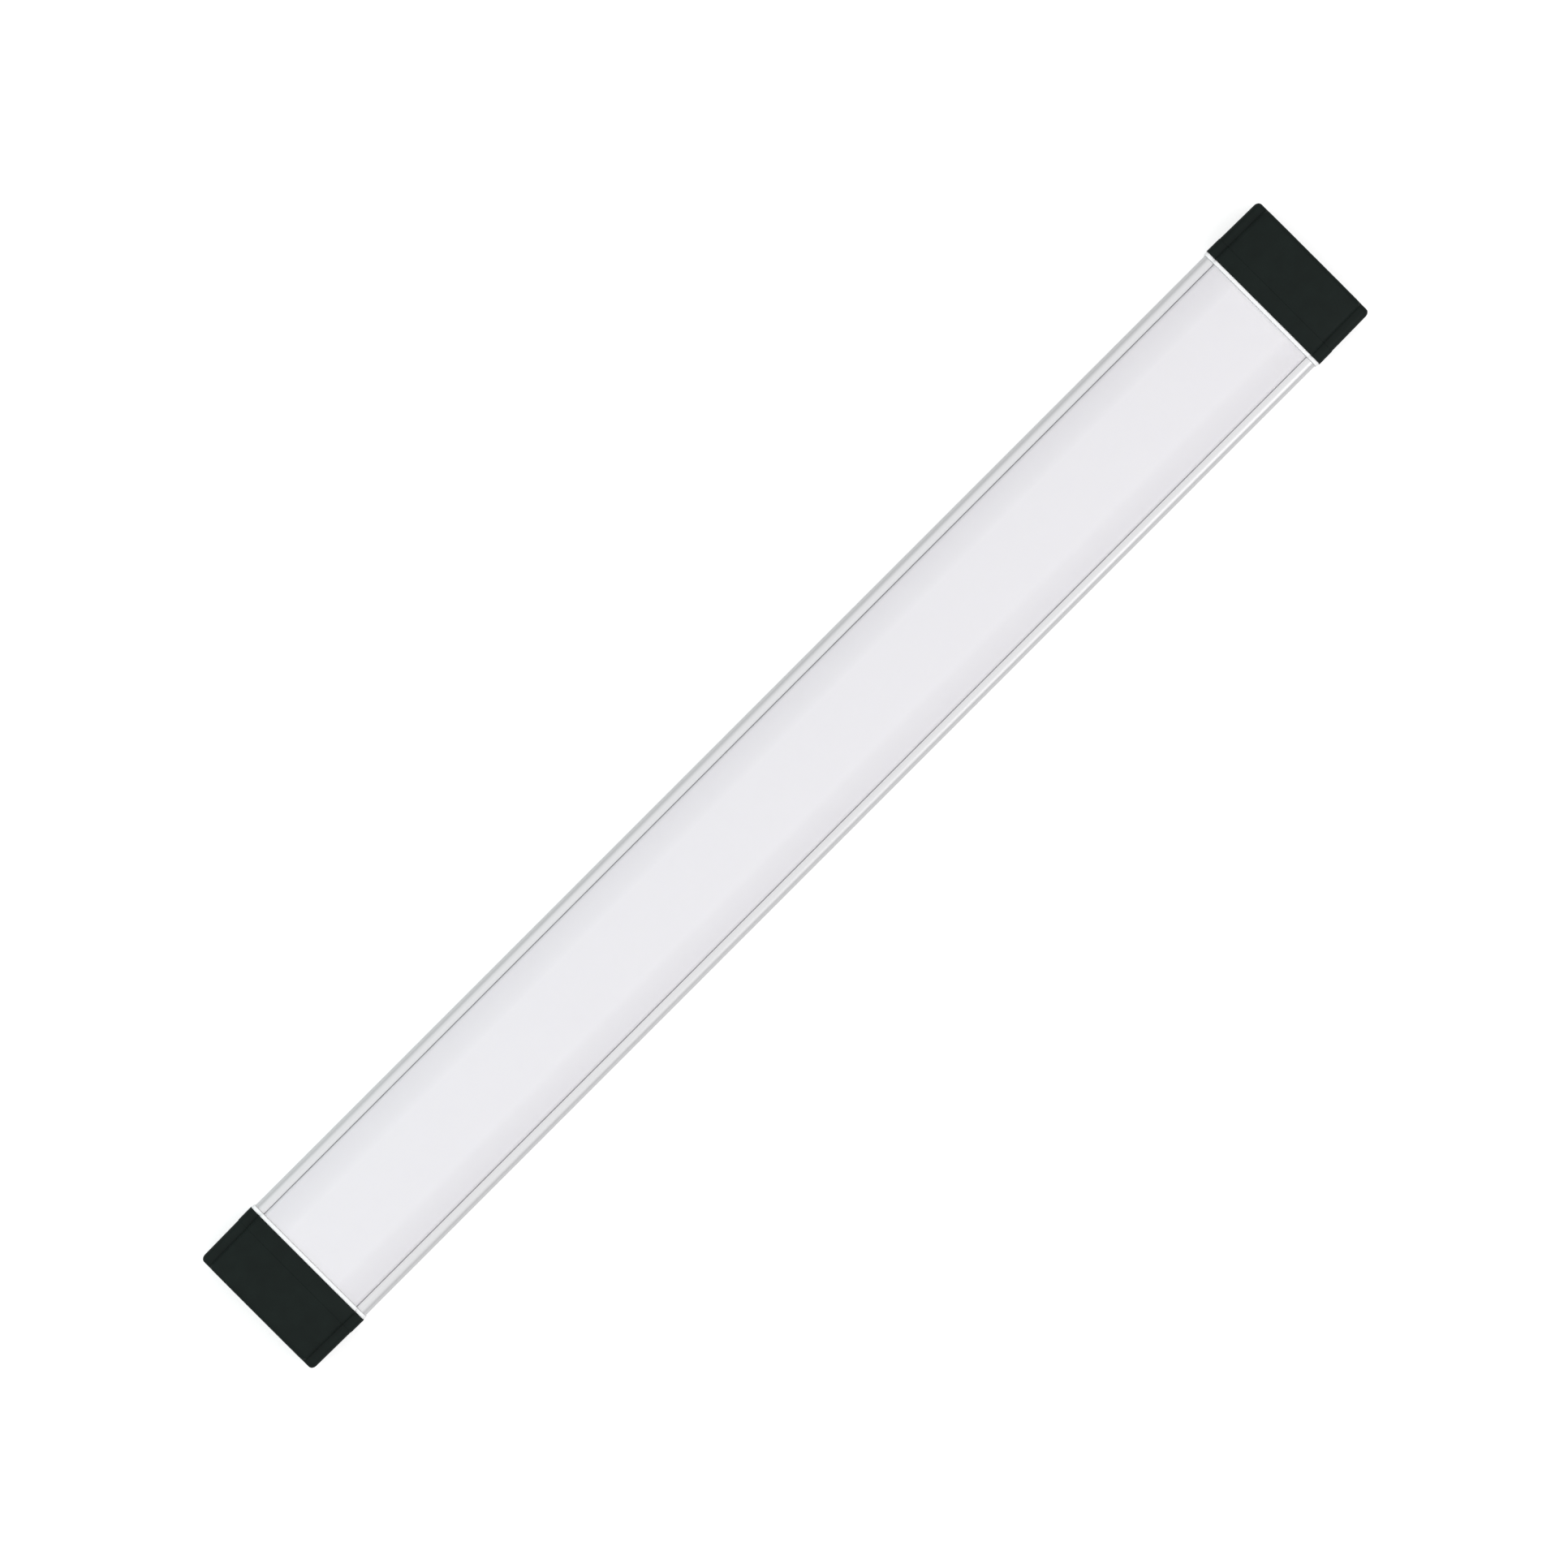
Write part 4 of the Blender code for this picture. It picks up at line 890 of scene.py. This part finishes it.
def thread_wave(turn, height, radius):
    """The crests of a 1/4 inch thread inside an insert's bore."""
    if abs(radius - INSERT_BORE_R) > 0.01:
        return 0.0
    phase = (height / INSERT_PITCH - turn / (2 * math.pi)) % 1.0
    return -INSERT_THREAD_DEPTH * (1 - abs(2 * phase - 1))


def bore_profile(near, far, steps):
    lead = 0.5 if far > near else -0.5
    rows = [(INSERT_BORE_R, near + lead + (far - near - lead) * i / steps) for i in range(steps + 1)]
    return [(INSERT_MOUTH_R, near)] + rows


def make_end_insert():
    low, high = box_mm("end_mount_insert")
    outer = (high.y - low.y) / 2
    centre = (low + high) / 2

    def wave(turn, height, radius):
        if radius > 4.5 and low.x + 1.2 < height < high.x - 0.6:
            return -KNURL_DEPTH * abs(math.sin(turn * 16))
        return thread_wave(turn, height, radius)

    outside = [(outer - 0.15, high.x), (outer, high.x - 0.15), (outer, high.x - 0.61), (outer, low.x + 1.21),
               (outer, low.x + 1.19), (outer, low.x + 0.2), (outer - 0.2, low.x)]
    profile = bore_profile(low.x, high.x, 64) + outside
    insert = turned("end_insert", profile, LOOKS["brass"], "X", (0, centre.y, centre.z), steps=64,
                    closed=True, waviness=wave)
    put(insert, BODY_OF["end_mount_insert"], "brass", "end_mount_insert")


def make_rear_insert():
    low, high = box_mm("rear_mount_insert")
    centre = (low + high) / 2
    flange_r = (high.x - low.x) / 2
    flange = BACK + BACK_WALL + GAP
    floor = high.z - 1.3
    bore = bore_profile(low.z, floor, 48)
    outside = [(5.8, low.z), (6.0, low.z + 0.2), (6.0, flange), (flange_r, flange), (flange_r, flange + 1.3),
               (flange_r - 0.2, flange + 1.5), (6.0, flange + 1.5), (6.0, high.z - 0.2), (5.8, high.z),
               (0, high.z)]
    profile = [(0, floor)] + bore[::-1] + outside
    insert = turned("rear_insert", profile, LOOKS["brass"], "Z", (centre.x, centre.y, 0), steps=64,
                    waviness=thread_wave)
    put(insert, BODY_OF["rear_mount_insert"], "brass", "rear_mount_insert")


def make_magnet_cup(label):
    """A soft cup with a rounded rim and two fine rings on its face for grip."""
    node = f"magnet_cup_{label}"
    low, high = box_mm(node)
    centre = (low + high) / 2
    flange = BACK + BACK_WALL + GAP
    profile = [(0, low.z), (4.0, low.z), (4.2, low.z + 0.2), (4.6, low.z + 0.2), (4.8, low.z), (7.6, low.z),
               (7.8, low.z + 0.2), (8.2, low.z + 0.2), (8.4, low.z), (9.5, low.z), (9.85, low.z + 0.15),
               (10.0, low.z + 0.5), (10.0, flange), (11.8, flange), (11.8, high.z), (8.4, high.z),
               (8.4, 1.35), (0, 1.35)]
    cup = turned(f"soft_cup_{label}", profile, LOOKS["rubber"], "Z", (centre.x, centre.y, 0), steps=72)
    put(cup, BODY_OF[node], "rubber", node)


# ---------------------------------------------------------------- buttons, window and cover

def button_place(name):
    centre = centre_mm(name)
    return centre.y, centre.z


def bar(y, z, half_y, half_z, x, turn=0.0):
    """A bar's outline on a button's face, as a ring of points at one height."""
    points = rounded_rectangle(half_y, half_z, min(half_y, half_z) * 0.98, 4)
    c, s = math.cos(math.radians(turn)), math.sin(math.radians(turn))
    return [(x, y + py * c - pz * s, z + py * s + pz * c) for py, pz in points]


def raised_bar(name, y, z, half_y, half_z, floor, top, turn=0.0):
    return loft(name, [bar(y, z, half_y, half_z, floor, turn), bar(y, z, half_y, half_z, top, turn)], PRINT)


def raised_arc(name, y, z, radius, width, start, end, floor, top):
    """A raised arc of a ring on a button's face."""
    steps = 28
    rings = []
    for i in range(steps + 1):
        turn = math.radians(start + (end - start) * i / steps)
        inner, outer = radius - width / 2, radius + width / 2
        corners = ((inner, floor), (outer, floor), (outer, top), (inner, top))
        rings.append([(x, y + r * math.cos(turn), z + r * math.sin(turn)) for r, x in corners])
    return loft(name, rings, PRINT)


def icon_parts(name, y, z, floor, top):
    if name == "power_button":
        return [raised_arc("icon", y, z, 1.05, 0.28, 130, 410, floor, top),
                raised_bar("icon", y, z + 0.75, 0.14, 0.6, floor, top)]
    if name == "mode_button":
        return [raised_arc("icon", y, z, 1.05, 0.28, 0.5, 180, floor, top),
                raised_bar("icon", y, z, 1.19, 0.14, floor, top)]
    parts = [raised_bar("icon", y, z, 1.0, 0.15, floor, top)]
    if name == "plus_button":
        parts.append(raised_bar("icon", y, z, 0.15, 1.0, floor, top))
    return parts


def make_button(name):
    """A rubber button with a dished face, a printed sign in the dish, and its flange and post behind."""
    low, high = box_mm(name)
    y, z = button_place(name)
    body = BODY_OF[name]
    tip = high.x
    flange_x = CAP_FLOOR_X - GAP
    dish = 0.22
    profile = [(1.4, low.x), (1.4, flange_x - 1.2), (3.6, flange_x - 1.2), (3.6, flange_x), (2.8, flange_x),
               (2.8, tip - 0.45), (2.72, tip - 0.2), (2.5, tip - 0.05), (2.25, tip), (2.0, tip - 0.05),
               (1.7, tip - dish * 0.8), (1.3, tip - dish), (0, tip - dish)]
    button = turned(name.replace("_button", "_key"), profile, LOOKS["rubber"], "X", (0, y, z), steps=56,
                    sharp=40.0)
    put(button, body, "rubber", name)
    icon = icon_parts(name, y, z, tip - dish - 0.1, tip - dish + 0.05)
    boolean(icon[0], icon[1:], "UNION")
    icon[0].name = name.replace("_button", "_sign")
    put(icon[0], body, "white_plastic")


def make_window():
    """A smoked window with a flange behind the cap and a softened front edge."""
    low, high = box_mm("display_window")
    middle = (low + high) / 2
    half_y = (high.y - low.y) / 2
    half_z = (high.z - low.z) / 2
    flange = moved(rounded_rectangle(half_y, half_z, 1.0), middle.y, middle.z)
    front = moved(rounded_rectangle(half_y - 0.9, half_z - 0.9, 1.0), middle.y, middle.z)
    step = low.x + 1.2
    sections = [(low.x, flange), (step, flange), (step, front), (high.x - 0.2, front),
                (high.x - 0.06, inset(front, 0.06)), (high.x, inset(front, 0.2))]
    window = loft_x("window_pane", sections, LOOKS["smoked"])
    put(window, BODY_OF["display_window"], "smoked", "display_window")


def hinge_axis():
    joint = [j for j in frame["record"]["behaviour"]["joints"] if j["name"] == "port_cover_hinge"][0]
    return [value / MM for value in joint["pos_m"]]


def make_cover():
    """The socket's cover: rounded edges, three raised grip bars near its free edge, and its hinge pins."""
    axis_x, centre_y, axis_z = hinge_axis()
    low, high = box_mm("port_cover")
    half = COVER_HALF_Y
    reach = half + COVER_PIN_LENGTH
    outer = low.x
    inner = high.x
    bottom = low.z
    look = LOOKS["rubber"]
    plate = block("cover_lid", (outer, centre_y - half, bottom), (inner, centre_y + half, axis_z - 0.3),
                  look, bevel=0.3)
    knuckle = turned("knuckle", [(0.55, -half), (0.55, half)], look, "Y", (axis_x, centre_y, axis_z),
                     steps=24)
    pins = turned("pins", [(0.4, -reach), (0.4, reach)], look, "Y", (axis_x, centre_y, axis_z), steps=24)
    web = block("web", (axis_x - 0.5, centre_y - half + 0.1, axis_z - 1.0),
                (axis_x + 0.4, centre_y + half - 0.1, axis_z), look)
    boolean(plate, [knuckle, pins, web], "UNION")
    grips = [raised_bar("grip", centre_y, bottom + 1.3 + 0.8 * i, 3.2, 0.2, outer - 0.16, outer + 0.3)
             for i in range(3)]
    boolean(plate, grips, "UNION")
    plate.data.materials.clear()
    plate.data.materials.append(look)
    plate.data.set_sharp_from_angle(angle=math.radians(35))
    put(plate, BODY_OF["port_cover"], "rubber", "port_cover")


# ---------------------------------------------------------------- stage, light and camera

def make_floor():
    """A pale seamless floor, lit through to white where it is seen and dimmer as a source of light."""
    builder = bmesh.new()
    bmesh.ops.create_grid(builder, x_segments=8, y_segments=8, size=6000)
    look = Look("white_sweep", (0.80, 0.80, 0.80), 0.9, specular=0.1)
    look.mottle(0.004, 400.0)
    seen = look.nodes.new("ShaderNodeLightPath").outputs["Is Camera Ray"]
    look.shader.inputs["Emission Color"].default_value = (1.0, 1.0, 1.0, 1.0)
    look.links.new(look.math("MULTIPLY", seen, 0.5), look.shader.inputs["Emission Strength"])
    finish_mesh("floor", builder, look.material)


def make_world():
    """A soft white dome, brightest overhead and dimmer towards the horizon."""
    world = bpy.data.worlds.new("soft_dome")
    bpy.context.scene.world = world
    world.use_nodes = True
    nodes = world.node_tree.nodes
    links = world.node_tree.links
    coordinates = nodes.new("ShaderNodeTexCoord")
    split = nodes.new("ShaderNodeSeparateXYZ")
    links.new(coordinates.outputs["Generated"], split.inputs["Vector"])
    ramp = nodes.new("ShaderNodeMapRange")
    ramp.inputs["From Min"].default_value = 0.1
    ramp.inputs["From Max"].default_value = 1.0
    ramp.inputs["To Min"].default_value = 0.30
    ramp.inputs["To Max"].default_value = 1.25
    links.new(split.outputs["Z"], ramp.inputs["Value"])
    seen = nodes.new("ShaderNodeLightPath").outputs["Is Camera Ray"]
    brighter = nodes.new("ShaderNodeMath")
    brighter.operation = "MAXIMUM"
    links.new(ramp.outputs["Result"], brighter.inputs[0])
    links.new(seen, brighter.inputs[1])
    links.new(brighter.outputs["Value"], nodes["Background"].inputs["Strength"])
    nodes["Background"].inputs["Color"].default_value = (1.0, 1.0, 1.0, 1.0)


def make_softbox(name, location, size, power, colour):
    """A square softbox that faces the middle of the tube."""
    data = bpy.data.lights.new(name, "AREA")
    data.color = colour
    data.shape = "SQUARE"
    data.size = size
    data.energy = power
    light = bpy.data.objects.new(name, data)
    light.location = location
    light.rotation_euler = (-light.location).to_track_quat("-Z", "Y").to_euler()
    bpy.context.scene.collection.objects.link(light)


def make_camera():
    data = bpy.data.cameras.new("camera")
    data.sensor_width = SENSOR
    data.lens = LENS
    camera = bpy.data.objects.new("camera", data)
    camera.location = (*AIM, FRONT_PLANE + VIEW_WIDTH * LENS / SENSOR)
    camera.rotation_euler = (0.0, 0.0, math.radians(ROLL))
    bpy.context.scene.collection.objects.link(camera)
    bpy.context.scene.camera = camera


def main():
    bpy.context.scene.view_settings.view_transform = "Standard"
    make_camera()
    make_world()
    make_softbox("softbox_key", (0.5, -1.3, 1.2), 0.9, 5.0, (1.0, 0.99, 0.98))
    make_softbox("softbox_fill", (-0.7, 0.6, 0.5), 0.5, 1.2, (0.75, 1.0, 0.98))
    make_floor()
    dress_frame()
    make_channel()
    make_diffuser()
    make_control_cap()
    make_mount_cap()
    for label, side in (("left", -1), ("right", 1)):
        make_gasket(label, side)
        make_magnet_cup(label)
        for number in range(1, 5):
            make_screw(label, side, number)
    for name in BUTTONS:
        make_button(name)
    make_window()
    make_cover()
    make_end_insert()
    make_rear_insert()


main()
